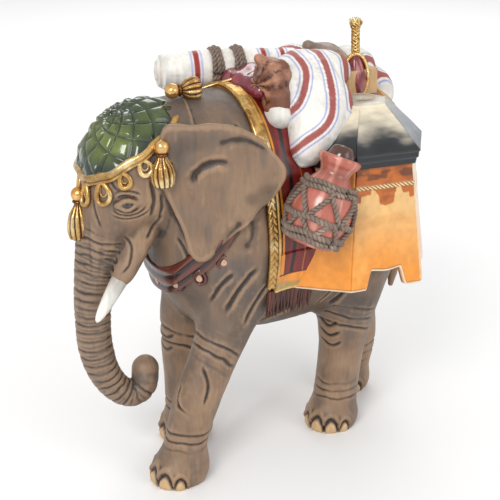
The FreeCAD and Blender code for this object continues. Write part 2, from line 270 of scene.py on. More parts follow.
    def mesh(self):
        """Vertices in millimetres and quads of the zero surface."""
        band = 3 * self.step
        grid = openvdb.FloatGrid(band)
        grid.copyFromArray(np.clip(self.d, -band, band))
        points, quads = grid.convertToQuads(0.0)
        return points.astype(float) * self.step + self.low, quads[:, ::-1].astype(int)

    def labels(self, points):
        i = np.clip(np.rint((points - self.low) / self.step).astype(int), 0, np.array(self.d.shape) - 1)
        return self.owner[i[:, 0], i[:, 1], i[:, 2]]


def normals_of(points, quads):
    n = np.cross(points[quads[:, 2]] - points[quads[:, 0]], points[quads[:, 3]] - points[quads[:, 1]])
    total = np.zeros_like(points)
    for k in range(4):
        np.add.at(total, quads[:, k], n)
    return unit(total)


def relax(points, quads, rounds=2):
    """Even out voxel steps without shrinking much."""
    pairs = np.vstack([quads[:, [k, (k + 1) % 4]] for k in range(4)])
    count = np.bincount(pairs.ravel(), minlength=len(points))[:, None] + 1e-9
    for amount in (0.55, -0.56) * rounds:
        total = np.zeros_like(points)
        np.add.at(total, pairs[:, 0], points[pairs[:, 1]])
        np.add.at(total, pairs[:, 1], points[pairs[:, 0]])
        points = points + amount * (total / count - points)
    return points


# ---------------------------------------- objects

def place(points):
    """Elephant millimetres to frame metres."""
    return (np.asarray(points, float) + SHIFT) * MM


def add_piece(name, points, faces, colors, material, nodes=(), normals=None, smooth=True):
    """Mesh object from millimetre points, riding on the root body and standing for CAD nodes."""
    mesh = bpy.data.meshes.new(name)
    faces = faces.tolist() if isinstance(faces, np.ndarray) else faces
    mesh.from_pydata(place(points).tolist(), [], faces)
    colors = np.broadcast_to(np.asarray(colors, np.float32), (len(points), 3))
    layer = mesh.attributes.new("paint", "FLOAT_COLOR", "POINT")
    layer.data.foreach_set("color", np.hstack([colors, np.ones((len(points), 1))]).astype(np.float32).ravel())
    if smooth:
        mesh.polygons.foreach_set("use_smooth", [True] * len(mesh.polygons))
    if normals is not None:
        mesh.normals_split_custom_set_from_vertices(np.asarray(normals, float).tolist())
    mesh.materials.append(material)
    piece = bpy.data.objects.new(name, mesh)
    bpy.context.scene.collection.objects.link(piece)
    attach(piece, "root")
    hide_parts(*nodes)
    return piece


def grid_faces(rows, columns, around=False):
    """Quads of a rows x columns grid of points; around joins the last column to the first."""
    last = columns if around else columns - 1
    i, j = np.meshgrid(np.arange(rows - 1), np.arange(last), indexing="ij")
    a, b = i * columns + j, i * columns + (j + 1) % columns
    return np.stack([a, b, b + columns, a + columns], -1).reshape(-1, 4)


def outward(points, faces):
    """Turn all the faces over if the closed mesh is inside out."""
    f = np.array([list(face[:3]) for face in faces])
    a, b, c = points[f[:, 0]], points[f[:, 1]], points[f[:, 2]]
    volume = np.einsum("ij,ij->i", a, np.cross(b, c)).sum()
    return faces if volume > 0 else [tuple(face)[::-1] for face in faces]


def join(parts):
    """One mesh from (points, faces, colors) parts."""
    points, faces, colors, offset = [], [], [], 0
    for p, f, c in parts:
        points.append(p)
        faces.extend([tuple(int(k) + offset for k in face) for face in f])
        colors.append(np.broadcast_to(np.asarray(c, float), (len(p), 3)))
        offset += len(p)
    return np.vstack(points), faces, np.vstack(colors)


def slab(top, bottom):
    """Closed sheet between two grids of points, each (rows, columns, 3)."""
    rows, columns = top.shape[:2]
    n = rows * columns
    points = np.vstack([top.reshape(-1, 3), bottom.reshape(-1, 3)])
    upper = grid_faces(rows, columns)
    faces = [tuple(f) for f in upper] + [tuple(f[::-1] + n) for f in upper]
    rim = ([j for j in range(columns)] + [i * columns + columns - 1 for i in range(1, rows)]
           + [(rows - 1) * columns + j for j in range(columns - 2, -1, -1)]
           + [i * columns for i in range(rows - 2, 0, -1)])
    faces += [(b, a, a + n, b + n) for a, b in zip(rim, rim[1:] + rim[:1])]
    return points, outward(points, faces)


def frames(path, up=(0.123, 0.456, 0.881)):
    """Sideways and upward directions along a path, turning as little as possible."""
    path = np.asarray(path, float)
    tangent = unit(np.gradient(path, axis=0))
    side = np.zeros_like(path)
    current = unit(np.cross(tangent[0], up))
    for k, t in enumerate(tangent):
        current = unit(current - (current @ t) * t)
        side[k] = current
    return side, np.cross(tangent, side)


def tube(path, radius, sides=12, flat=1.0, closed=False):
    """Round tube along a path; radius may change along it. flat squeezes it across."""
    path = np.asarray(path, float)
    n = len(path)
    side, up = frames(path)
    radius = np.broadcast_to(np.asarray(radius, float), (n,))
    a = np.linspace(0, 2 * math.pi, sides, endpoint=False)
    ring = (np.cos(a)[None, :, None] * side[:, None] + flat * np.sin(a)[None, :, None] * up[:, None])
    points = (path[:, None] + radius[:, None, None] * ring).reshape(-1, 3)
    faces = [tuple(f) for f in grid_faces(n, sides, True)]
    if closed:
        faces += [((n - 1) * sides + j, (n - 1) * sides + (j + 1) % sides, (j + 1) % sides, j)
                  for j in range(sides)]
    else:
        faces += [tuple(range(sides))[::-1], tuple(range((n - 1) * sides, n * sides))]
    return points, outward(points, faces)


def arc_length(path):
    return np.concatenate([[0], np.cumsum(np.linalg.norm(np.diff(path, axis=0), axis=1))])


def rope(path, radius, pitch, strands=3, sides=8, thick=0.62, lobes=0.0):
    """Twisted rope: strands winding round a path. Returns points, faces and a 0 to 1 height of each point."""
    path = np.asarray(path, float)
    side, up = frames(path)
    along = arc_length(path)
    parts = []
    for k in range(strands):
        a = 2 * math.pi * (along / pitch + k / strands)
        reach = radius * (1 - thick)
        line = path + reach * (np.cos(a)[:, None] * side + np.sin(a)[:, None] * up)
        taper = np.minimum(1, np.minimum(along, along[-1] - along) / radius + 0.35)
        p, f = tube(line, radius * thick * taper * (1 + lobes * np.sin(along * 5)), sides)
        centre = np.repeat(path, sides, axis=0)
        height = np.clip(np.linalg.norm(p - centre, axis=1) / radius, 0, 1)
        parts.append((p, f, np.repeat(height[:, None], 3, 1)))
    points, faces, height = join(parts)
    return points, faces, height[:, 0]


def lathe(profile, sides, origin=(0, 0, 0), turn=None, shape=None):
    """Turned solid from (radius, height) rows. shape(angle, height, radius) may change the radius."""
    rows = np.asarray(profile, float)
    a = np.linspace(0, 2 * math.pi, sides, endpoint=False)
    r = np.repeat(rows[:, :1], sides, 1)
    if shape is not None:
        r = shape(a[None, :], rows[:, 1:2], r)
    p = np.stack([r * np.cos(a), r * np.sin(a), np.repeat(rows[:, 1:2], sides, 1)], -1).reshape(-1, 3)
    faces = [tuple(f) for f in grid_faces(len(rows), sides, True)]
    faces += [tuple(range(sides))[::-1], tuple(range((len(rows) - 1) * sides, len(rows) * sides))]
    if turn is not None:
        p = p @ np.asarray(turn, float).T
    p = p + np.asarray(origin, float)
    return p, outward(p, faces)


def aim(direction):
    """Rotation matrix that carries +Z to the direction."""
    return np.array(Vector(direction).to_track_quat("Z", "Y").to_matrix())


def tint(colors, mask, color):
    """Lay a colour over the others where the mask is one."""
    m = np.clip(np.asarray(mask, float), 0, 1)[..., None]
    return np.asarray(colors, float) * (1 - m) + np.asarray(color, float) * m


def washed(points, base, over, size, octaves, seed, low=0.0, high=0.8):
    """Base colour with soft clouds of a second one over it."""
    colors = np.broadcast_to(np.array(base), points.shape)
    return tint(colors, smoothstep(low, high, fbm(points, size, octaves, seed)), over)


def bump_line(x, width):
    return np.exp(-(np.asarray(x) / width) ** 2)


def band(x, low, high, soft=0.12):
    return smoothstep(low - soft, low + soft, x) * (1 - smoothstep(high - soft, high + soft, x))


# ---------------------------------------- materials

def shader(name, color, rough=0.5, **sockets):
    """New node material; color is a constant. Returns the material, its tree and its Principled shader."""
    material = bpy.data.materials.new(name)
    material.use_nodes = True
    tree = material.node_tree
    bsdf = tree.nodes["Principled BSDF"]
    bsdf.inputs["Base Color"].default_value = (*color, 1)
    bsdf.inputs["Roughness"].default_value = rough
    for key, value in sockets.items():
        bsdf.inputs[key.replace("_", " ")].default_value = value
    return material, tree, bsdf


def node(tree, kind, **settings):
    made = tree.nodes.new(kind)
    for key, value in settings.items():
        if key in made.bl_rna.properties:
            setattr(made, key, value)
        else:
            made.inputs[key.replace("_", " ")].default_value = value
    return made


def noise_node(tree, scale, detail=3.0, stretch=(1, 1, 1), rough=0.55):
    """Noise over the object's own coordinates, in bumps per metre."""
    place_node = node(tree, "ShaderNodeTexCoord")
    mapping = node(tree, "ShaderNodeMapping")
    mapping.inputs["Scale"].default_value = stretch
    tree.links.new(place_node.outputs["Object"], mapping.inputs["Vector"])
    made = node(tree, "ShaderNodeTexNoise", Scale=scale, Detail=detail, Roughness=rough)
    tree.links.new(mapping.outputs["Vector"], made.inputs["Vector"])
    return made.outputs["Fac"]


def ramp(tree, source, stops):
    """Colour ramp with (position, colour) stops."""
    made = node(tree, "ShaderNodeValToRGB")
    elements = made.color_ramp.elements
    while len(elements) < len(stops):
        elements.new(0.5)
    for element, (position, color) in zip(elements, stops):
        element.position = position
        element.color = (*color, 1) if len(color) == 3 else color
    tree.links.new(source, made.inputs["Fac"])
    return made.outputs["Color"]


def mix(tree, factor, a, b, mode="MIX"):
    """Mix two colours; each of factor, a and b is a socket or a constant."""
    made = node(tree, "ShaderNodeMix", data_type="RGBA", blend_type=mode)
    for value, key in ((factor, 0), (a, 6), (b, 7)):
        if isinstance(value, bpy.types.NodeSocket):
            tree.links.new(value, made.inputs[key])
        else:
            made.inputs[key].default_value = value if key == 0 else (*value, 1)
    return made.outputs[2]


def add_bump(tree, bsdf, source, strength, distance):
    """Relief in metres, driven by a 0 to 1 source."""
    bump = node(tree, "ShaderNodeBump", Strength=strength, Distance=distance)
    tree.links.new(source, bump.inputs["Height"])
    if bsdf.inputs["Normal"].is_linked:
        tree.links.new(bsdf.inputs["Normal"].links[0].from_socket, bump.inputs["Normal"])
    tree.links.new(bump.outputs["Normal"], bsdf.inputs["Normal"])


def srgb(r, g, b):
    """Screen colour, 0 to 255, to linear light."""
    return tuple((c / 255 / 12.92) if c / 255 <= 0.04045 else ((c / 255 + 0.055) / 1.055) ** 2.4
                 for c in (r, g, b))


def painted(name, rough=0.45, streak=0.35, streak_size=700, stretch=(1, 1, 0.2), blotch=0.25, blotch_size=120,
            relief=0.25, relief_size=1100, relief_depth=0.0002, **sockets):
    """Hand painted surface: the mesh's own colours, broken up by brush streaks, blotches and fine relief."""
    material = bpy.data.materials.new(name)
    material.use_nodes = True
    tree = material.node_tree
    bsdf = tree.nodes["Principled BSDF"]
    bsdf.inputs["Roughness"].default_value = rough
    for key, value in sockets.items():
        bsdf.inputs[key.replace("_", " ")].default_value = value
    base = node(tree, "ShaderNodeAttribute", attribute_name="paint").outputs["Color"]
    brush = ramp(tree, noise_node(tree, streak_size, 3, stretch),
                 [(0.33, (0.55, 0.55, 0.57)), (0.55, (1, 1, 1)), (0.75, (1.25, 1.22, 1.18))])
    base = mix(tree, streak, base, brush, "MULTIPLY")
    cloud = ramp(tree, noise_node(tree, blotch_size, 4), [(0.35, (0.6, 0.6, 0.62)), (0.6, (1.1, 1.08, 1.05))])
    base = mix(tree, blotch, base, cloud, "MULTIPLY")
    tree.links.new(base, bsdf.inputs["Base Color"])
    sheen = noise_node(tree, streak_size * 0.6, 2)
    spread = node(tree, "ShaderNodeMapRange", To_Min=rough * 0.8, To_Max=min(rough * 1.25, 1.0))
    tree.links.new(sheen, spread.inputs["Value"])
    tree.links.new(spread.outputs["Result"], bsdf.inputs["Roughness"])
    add_bump(tree, bsdf, noise_node(tree, relief_size, 3, stretch), relief, relief_depth)
    return material


# ---------------------------------------- camera, light and floor

CAMERA_AIM = np.array([8.5, -10.0, 80.0])
CAMERA_AZIMUTH, CAMERA_ELEVATION = math.radians(57), math.radians(21)
CAMERA_DISTANCE = 430.0
LENS = 86.0


def build_stage():
    scene = bpy.context.scene
    scene.view_settings.view_transform = "Standard"
    back = np.array([math.sin(CAMERA_AZIMUTH) * math.cos(CAMERA_ELEVATION),
                     -math.cos(CAMERA_AZIMUTH) * math.cos(CAMERA_ELEVATION), math.sin(CAMERA_ELEVATION)])
    camera = bpy.data.objects.new("camera", bpy.data.cameras.new("camera"))
    camera.data.lens = LENS
    camera.data.clip_start, camera.data.clip_end = 0.01, 20
    camera.location = place(CAMERA_AIM + back * CAMERA_DISTANCE)
    camera.rotation_euler = Vector(-back).to_track_quat("-Z", "Y").to_euler()
    scene.collection.objects.link(camera)
    scene.camera = camera

    mesh = bpy.data.meshes.new("floor")
    half = 3.0
    mesh.from_pydata([(-half, -half, 0), (half, -half, 0), (half, half, 0), (-half, half, 0)], [],
                     [(0, 1, 2, 3)])
    floor_paint, _, _ = shader("floor_paint", (0.9, 0.9, 0.9), rough=0.9)
    mesh.materials.append(floor_paint)
    floor = bpy.data.objects.new("floor", mesh)
    scene.collection.objects.link(floor)

    world = bpy.data.worlds.new("studio")
    world.use_nodes = True
    world.node_tree.nodes["Background"].inputs["Color"].default_value = (1, 1, 1, 1)
    world.node_tree.nodes["Background"].inputs["Strength"].default_value = 0.8
    scene.world = world
    for name, spot, size, power in (("key", (0.55, -0.75, 0.75), 0.4, 5.5),
                                    ("fill", (0.2, -0.9, 0.35), 0.8, 0.5),
                                    ("side", (0.95, 0.35, 0.5), 0.6, 2.0),
                                    ("back", (-0.7, 0.5, 0.7), 0.6, 2.5)):
        light = bpy.data.lights.new(name, "AREA")
        light.size, light.energy = size, power
        lamp = bpy.data.objects.new(name, light)
        lamp.location = spot
        lamp.rotation_euler = (Vector((0, 0, 0.08)) - Vector(spot)).to_track_quat("-Z", "Y").to_euler()
        scene.collection.objects.link(lamp)


build_stage()

# ---------------------------------------- the elephant's flesh

BODY, HEAD, TRUNK, LEG_FL, LEG_FR, LEG_RL, LEG_RR, EAR_L, EAR_R, TAIL = range(1, 11)
SKIN_NODES = {BODY: "body", HEAD: "head", TRUNK: "trunk", LEG_FL: "leg_front_left", LEG_FR: "leg_front_right",
              LEG_RL: "leg_rear_left", LEG_RR: "leg_rear_right", EAR_L: "ear_left", EAR_R: "ear_right",
              TAIL: "tail"}
TRUNK_PATH = [(0, -55, 105, 11.5), (0, -60, 96, 10.2), (0, -63.2, 85, 8.6), (0, -65.6, 74, 7.1),
              (0, -66.6, 63, 6.5), (0, -66.4, 52, 6.2), (0, -64.4, 42, 5.8), (0, -60, 33.5, 5.4),
              (0.3, -54, 29.4, 5.1), (0.2, -49.3, 32.0, 4.9), (-0.5, -48.2, 38.0, 4.9)]


def with_turned(points):
    rows = np.asarray(points, float)
    return np.hstack([turn_head(rows[:, :3]), rows[:, 3:]])


SKULL = [(-68, 0, 105, 0.5, 0.5), (-67, 0, 105, 6, 10), (-64.5, 0, 107, 11.5, 17), (-59.5, 0, 110, 16, 21),
         (-52, 0, 113, 18, 22.2), (-44, 0, 114.5, 17.5, 21.5), (-37, 0, 115, 14, 19), (-33, 0, 116, 9, 13),
         (-32, 0, 116, 0.5, 0.5)]


def model_head(clay):
    clay.barrel(SKULL, 5, HEAD, straight=True)
    clay.limb(with_turned(TRUNK_PATH), 5, TRUNK)
    for flip in (1, -1):
        lip = [(8.6 * flip, -50, 94, 4.6), (9.6 * flip, -54, 87, 4.4), (10.6 * flip, -57.5, 81.5, 3.9),
               (11.0 * flip, -59.0, 79.2, 2.9)]
        clay.limb(with_turned(lip), 3, HEAD)
        for middle, radius in (((17.6 * flip, -57.2, 109.1), 0.95), ((17.4 * flip, -57.2, 105.6), 0.8)):
            lid = [(15.9 * flip, -60.4, 107.1, radius), (*middle, radius),
                   (16.6 * flip, -53.6, 107.4, radius)]
            clay.limb(with_turned(lid), 0.6, HEAD)


def model_ears(clay):
    for flip, label in ((1, EAR_L), (-1, EAR_R)):
        model_ear(clay, flip, label)


def model_skin(step, bare=False):
    """The whole elephant; bare leaves out the head, ears and trunk."""
    clay = Clay((-46, -78, -3), (52, 72, 143), step)
    r, d, z = 30.5, 44.5, 92.0
    clay.barrel([(-44.5, 0, z - 6, 0.5, 0.5), (-43.5, 0, z - 6, 7, 10), (-39, 0, z - 2, 16, 24),
                 (-27, 0, z, 25, 39),
                 (-6, 0, z, r - 1.5, d), (18, 0, z, r, d), (38, 0, z, r - 1.5, d - 2.5),
                 (53, 0, z, r - 7, d - 10),
                 (63, 0, z - 2, 14, 20), (66.5, 0, z - 4, 6, 9), (67.5, 0, z - 4, 0.5, 0.5)], 3, BODY)
    clay.barrel([(-53, -4, 114, 12, 16), (-42, -2, 112, 17.5, 24), (-28, 0, 110, 21, 28.5),
                 (-12, 0, 108, 22, 29)],
                8, BODY)
    if not bare:
        model_head(clay)
    legs = {
        LEG_FL: [(14, -42.2, 8, 8.8), (14, -41.2, 15, 7.9), (14, -37.6, 27, 8.2), (14, -28.2, 47, 8.8),
                 (14.5, -21.6, 64, 10.8), (15, -17, 84, 13), (14, -14, 98, 11)],
        LEG_FR: [(-13.5, -25, 8, 8.6), (-14, -24.8, 21, 8.3), (-14, -25.2, 41, 8.7), (-13.5, -24, 56, 9.7),
                 (-12.5, -18, 80, 11.5), (-12, -15, 98, 9.5)],
        LEG_RL: [(10.8, 28, 8, 8.6), (10.3, 30.2, 23, 8.5), (10.5, 31.4, 35, 9), (11, 32, 47, 10.8),
                 (12, 33, 64, 14),
                 (14, 35, 84, 14.5), (13, 36, 98, 12)],
        LEG_RR: [(-12, 52, 8, 8.4), (-12.5, 55.5, 22, 9), (-13, 53.5, 35, 10.2), (-13, 49, 47, 12),
                 (-13, 43, 64, 14.5),
                 (-14, 39, 84, 14.5), (-13, 38, 98, 12)],
    }
    for label, rows in legs.items():
        clay.limb(rows, 6, label)
    feet = {LEG_FL: (14, -44.3), LEG_FR: (-13, -25.8), LEG_RL: (11, 26.6), LEG_RR: (-12, 50.7)}
    for label, (x, y) in feet.items():
        clay.egg((x, y, 3.5), (9.6, 10.4, 7.6), 4, label)
    if not bare:
        model_ears(clay)
    clay.limb([(0, 60, 108, 4), (0, 66.5, 101, 3), (0, 69, 90, 2.3), (-1, 69.3, 76, 1.9), (-2, 68, 62, 1.7),
               (-2.4, 66.6, 53, 2.2), (-2.5, 65.8, 46, 1.2)], 2.5, TAIL)
    z = clay.block(clay.window((-60, -90, -10), (60, 90, 20), 0))[2]
    low = clay.window((-60, -90, -10), (60, 90, 20), 0)
    clay.d[low] = np.maximum(clay.d[low], -z)
    return clay


EAR_OUTLINE = [(-2, 132), (8, 133), (18, 133), (26, 130.5), (33, 125), (38, 118), (36.5, 111), (30, 102.5),
               (22, 95.5), (15.5, 89.5), (10.4, 85.6), (6.4, 88), (3.5, 97.7), (0, 106), (-3, 118)]
EAR_ROOT = np.array([18.0, -42.5, 0.0])
EAR_SPREAD = math.radians(20)
EAR_THICK = 2.6


def ear_sheet_coordinates(x, y, z, flip):
    """Distance along the ear, height, and distance off its middle sheet, for the straight head."""
    along = np.array([math.sin(EAR_SPREAD), math.cos(EAR_SPREAD)])
    px, py = x * flip - EAR_ROOT[0], y - EAR_ROOT[1]
    u = px * along[0] + py * along[1]
    off = px * along[1] - py * along[0]
    return u, z, off


def polygon_distance(u, v, outline):
    """Signed distance to a closed outline in its own plane, negative inside."""
    pts = closed_spline(outline, 90)
    best = np.full(np.broadcast(u, v).shape, 1e9, np.float32)
    inside = np.zeros(best.shape, bool)
    for a, b in zip(pts, np.roll(pts, -1, axis=0)):
        ex, ey = b - a
        wx, wy = u - a[0], v - a[1]
        t = np.clip((wx * ex + wy * ey) / (ex * ex + ey * ey), 0, 1)
        best = np.minimum(best, (wx - ex * t) ** 2 + (wy - ey * t) ** 2)
        crosses = ((a[1] > v) != (b[1] > v)) & (u < (b[0] - a[0]) * (v - a[1]) / (b[1] - a[1] + 1e-12) + a[0])
        inside ^= crosses
    return np.sqrt(best) * np.where(inside, -1, 1)


def model_ear(clay, flip, label):
    """Broad blade, cupped towards the neck, with a soft wave along its rim."""
    corners = np.array([(flip * sx, sy, sz) for sx in (12, 42) for sy in (-50, -2) for sz in (80, 138)],
                       float)
    corners = turn_head(corners)
    cut = clay.window(corners.min(0), corners.max(0), 4)
    x, y, z = clay.block(cut)
    p = straight_head(np.stack(np.broadcast_arrays(x, y, z), -1))
    u, v, off = ear_sheet_coordinates(p[..., 0], p[..., 1], p[..., 2], flip)
    edge = polygon_distance(u, v, EAR_OUTLINE)
    wave = 0.9 * np.sin(u * 0.16 + v * 0.10) * smoothstep(6, 26, u) + 0.0022 * (u - 16) ** 2 - 0.8
    thick = EAR_THICK * 0.5 * (0.62 + 0.9 * smoothstep(14, -2, u))
    slab = np.abs(off - wave) - thick
    d = np.maximum(slab, edge)
    both = np.sqrt(np.maximum(slab + 1.0, 0) ** 2 + np.maximum(edge + 1.0, 0) ** 2) - 1.0
    d = np.where((slab > -1.0) & (edge > -1.0), both, d)
    clay.blend(cut, d.astype(np.float32), 2.5, label)


SKIN_STEP = 0.42
SKIN_MID = srgb(128, 104, 84)
SKIN_PALE_AND_HIGHLIGHT = srgb(160, 130, 102)
SKIN_COOL = srgb(88, 82, 79)
SKIN_GLAZE_AND_SHADE = srgb(42, 35, 32)
NAIL = srgb(205, 172, 128)
FEET = {LEG_FL: (14, -44.3, -95), LEG_FR: (-13, -25.8, -92), LEG_RL: (11, 26.6, -70),
        LEG_RR: (-12, 50.7, -70)}


class Skin:
    """The carved skin's mesh, with the grooves cut into it and the painted shade and dark glaze that lie in
    them.
    """

    def __init__(self, clay):
        self.clay = clay
        self.points, self.quads = clay.mesh()
        self.points = relax(self.points, self.quads)
        self.normals = normals_of(self.points, self.quads)
        if (self.normals * clay.slope(self.points)).sum() < 0:
            self.quads, self.normals = self.quads[:, ::-1], -self.normals
        self.owner = clay.labels(self.points - 0.4 * self.normals)
        self.depth = np.zeros(len(self.points))
        self.crease_shade = np.zeros(len(self.points))
        self.lip_highlight = np.zeros(len(self.points))
        self.nail = np.zeros(len(self.points))

    def groove(self, chosen, near, depth, crease_shade, lip=0.3):
        """Press a groove where near is one and give it painted shade; lip raises the skin beside it, which
        gets a painted highlight.
        """
        self.depth[chosen] -= depth * near
        # painted shade in the groove
        self.crease_shade[chosen] = np.maximum(self.crease_shade[chosen], crease_shade * near)
        beside = np.clip(near * (1 - near) * 4, 0, 1)
        self.depth[chosen] += lip * depth * beside
        # painted highlight on the raised lip beside the groove
        self.lip_highlight[chosen] = np.maximum(self.lip_highlight[chosen], 0.5 * crease_shade * beside * (1 - near))

    def crease(self, points, depth=0.8, width=0.8, crease_shade=0.9, head=False, fade=True, labels=None):
        """Groove along a curve given by a few points near the skin; head takes straight-head points."""
        line = spline(turn_head(points) if head else points, 24)
        line = self.clay.wrap(line)
        reach = 3.5 * width
        box = np.all((self.points > line.min(0) - reach) & (self.points < line.max(0) + reach), axis=1)
        if labels is not None:
            box &= np.isin(self.owner, labels)
        chosen = np.flatnonzero(box)
        p = self.points[chosen]
        best = np.full(len(p), 1e9)
        where = np.zeros(len(p))
        for k, (a, b) in enumerate(zip(line[:-1], line[1:])):
            ab = b - a
            t = np.clip((p - a) @ ab / max(ab @ ab, 1e-9), 0, 1)
            d = np.linalg.norm(p - a - t[:, None] * ab, axis=1)
            closer = d < best
            best[closer] = d[closer]
            where[closer] = (k + t[closer]) / (len(line) - 1)
        ends = smoothstep(0, 0.25, where) * (1 - smoothstep(0.75, 1, where)) if fade else 1.0
        wobble = 1 + 0.3 * noise(p, 2.5, 5)
        self.groove(chosen, bump_line(best, width * wobble) * ends, depth, crease_shade)

    def rings(self, label, axis_points, spacing, depth, crease_shade, low, high, lean=0.0, seed=3, face=None,
              sharp=3.0):
        """Wrinkles across a limb between two shares of its length."""
        path = spline(np.asarray(axis_points, float)[:, :3], 160)
        along = arc_length(path)
        chosen = np.flatnonzero(self.owner == label)
        p = self.points[chosen]
        nearest = np.zeros(len(p), int)
        for start in range(0, len(p), 20000):
            part = p[start:start + 20000]
            d = ((part[:, None] - path[None, ::2]) ** 2).sum(-1)
            nearest[start:start + 20000] = d.argmin(1) * 2
        tangent = unit(np.gradient(path, axis=0))[nearest]
        s = along[nearest] + np.einsum("ij,ij->i", p - path[nearest], tangent)
        out = unit(p - path[nearest])
        around = np.arctan2(out[:, 0], -out[:, 1])
        s = s + lean * np.cos(around) + 0.9 * noise(p, 7, seed) + 0.35 * noise(p, 2.5, seed + 1)
        share = s / along[-1]
        wave = 0.5 + 0.5 * np.cos(2 * math.pi * s / spacing)
        near = wave ** sharp * smoothstep(low, low + 0.06, share) * (1 - smoothstep(high - 0.06, high, share))
        near = near * (0.55 + 0.45 * smoothstep(-0.4, 0.4, noise(p, 6, seed + 2)))
        if face is not None:
            near = near * smoothstep(-0.2, 0.5, out @ unit(face))
        self.groove(chosen, near, depth, crease_shade, 0.15)

    def toes(self, label):
        """Pale rounded nails round the front of a foot, each under an arched groove that gets painted shade.
        """
        cx, cy, facing = FEET[label]
        chosen = np.flatnonzero((self.owner == label) & (self.points[:, 2] < 14))
        p = self.points[chosen]
        angle = np.degrees(np.arctan2(p[:, 1] - cy, p[:, 0] - cx))
        nails = ((0, 2.5, 5.6), (34, 2.5, 5.2), (-34, 2.4, 5.2), (68, 2.0, 4.2), (-68, 2.0, 4.2))
        for offset, half, tall in nails:
            da = (angle - facing - offset + 180) % 360 - 180
            across = np.radians(da) * 9.6
            r = np.sqrt((across / half) ** 2 + (p[:, 2] / tall) ** 2)
            on = np.abs(da) < 45
            inside = (1 - smoothstep(0.8, 0.98, r)) * on
            rim = bump_line(r - 1.12, 0.16) * on * smoothstep(0.2, 1.2, p[:, 2])
            self.depth[chosen] += 0.75 * inside * np.sqrt(np.clip(1 - (r / 1.05) ** 2, 0, 1)) - 0.75 * rim
            self.depth[chosen] += 0.45 * bump_line(r - 1.5, 0.2) * on
            self.nail[chosen] = np.maximum(self.nail[chosen], inside)
            # painted shade in the groove round each nail
            self.crease_shade[chosen] = np.maximum(self.crease_shade[chosen], rim)

    def finish(self):
        """Move the vertices and work out the shading and the colours."""
        p, n = self.points, self.normals
        folds = fbm(p * np.array([1, 1, 0.45]), 9, 3, 11)
        fine = fbm(p * np.array([1, 1, 0.7]), 2.2, 2, 15)
        flap = np.isin(self.owner, [EAR_L, EAR_R])
        self.depth += 0.22 * folds + 0.06 * fine + 0.7 * flap * fbm(p * (1, 1, 0.45), 9, 2, 29)
        moved = p + self.depth[:, None] * n
        moved[:, 2] = np.maximum(moved[:, 2], 0)
        sole = p[:, 2] < 0.4
        moved[sole, 2] = np.minimum(moved[sole, 2], 0.25)
        shade = normals_of(moved, self.quads)
        hollow = self.hollows(moved)
        broad = fbm(p, 26, 3, 21)
        colors = np.broadcast_to(np.array(SKIN_MID), p.shape)
        colors = tint(colors, 0.75 * smoothstep(-0.1, 0.9, broad), SKIN_PALE_AND_HIGHLIGHT)
        colors = tint(colors, 0.75 * smoothstep(0.0, 0.9, -broad), SKIN_COOL)
        colors = tint(colors, 0.5 * smoothstep(0.1, 0.8, fbm(p * np.array([1, 1, 0.25]), 4, 2, 27)),
                      SKIN_COOL)
        colors = tint(colors, 0.4 * smoothstep(-0.1, 0.7, fbm(p, 12, 3, 28)) * (0.5 + 0.5 * flap), SKIN_GLAZE_AND_SHADE)
        # painted shade: skin of the body, head and ears that faces downwards is darkened
        under = smoothstep(0.1, -0.75, n[:, 2]) * np.isin(self.owner, [BODY, HEAD, EAR_L, EAR_R])
        colors = tint(colors, 0.45 * under, SKIN_GLAZE_AND_SHADE)
        # painted shade in the hollows
        colors = tint(colors, 0.85 * smoothstep(0.015, 0.12, hollow), SKIN_GLAZE_AND_SHADE)
        # painted shade, over the dark glaze, in the cut grooves and round the nails
        colors = tint(colors, 0.8 * self.crease_shade * (0.75 + 0.25 * noise(p, 1.5, 8)), SKIN_GLAZE_AND_SHADE)
        # painted highlight on the ridges
        colors = tint(colors, 0.6 * smoothstep(0.02, 0.11, -hollow), SKIN_PALE_AND_HIGHLIGHT)
        # painted highlight on the raised lips beside the grooves
        colors = tint(colors, 0.6 * self.lip_highlight, SKIN_PALE_AND_HIGHLIGHT)
        colors = tint(colors, 0.9 * self.nail, np.array(NAIL) * (1 + 0.1 * noise(p, 2, 9))[:, None])
        inside = np.isin(self.owner, [EAR_L, EAR_R]) & (p[:, 2] > 90)
        self.moved, self.shade, self.colors, self.inside = moved, shade, colors, inside

    def hollows(self, moved):
        """Mean curvature over a couple of millimetres: above zero in hollows, below on ridges."""
        pairs = np.vstack([self.quads[:, [0, 2]], self.quads[:, [1, 3]]])
        count = np.bincount(pairs.ravel(), minlength=len(moved))[:, None] + 1e-9
        smooth = moved.copy()
        for _ in range(8):
            total = np.zeros_like(smooth)
            np.add.at(total, pairs[:, 0], smooth[pairs[:, 1]])
            np.add.at(total, pairs[:, 1], smooth[pairs[:, 0]])
            smooth = 0.4 * smooth + 0.6 * total / count
        return np.einsum("ij,ij->i", smooth - moved, self.normals)

    def split(self, material):
        face_owner = self.owner[self.quads[:, 0]]
        for label, name in SKIN_NODES.items():
            chosen = self.quads[face_owner == label]
            used = np.unique(chosen)
            lookup = np.zeros(len(self.points), int)
            lookup[used] = np.arange(len(used))
            add_piece(name + "_skin", self.moved[used], lookup[chosen], self.colors[used], material,
                      (name,), self.shade[used])


clay = model_skin(SKIN_STEP)
skin = Skin(clay)


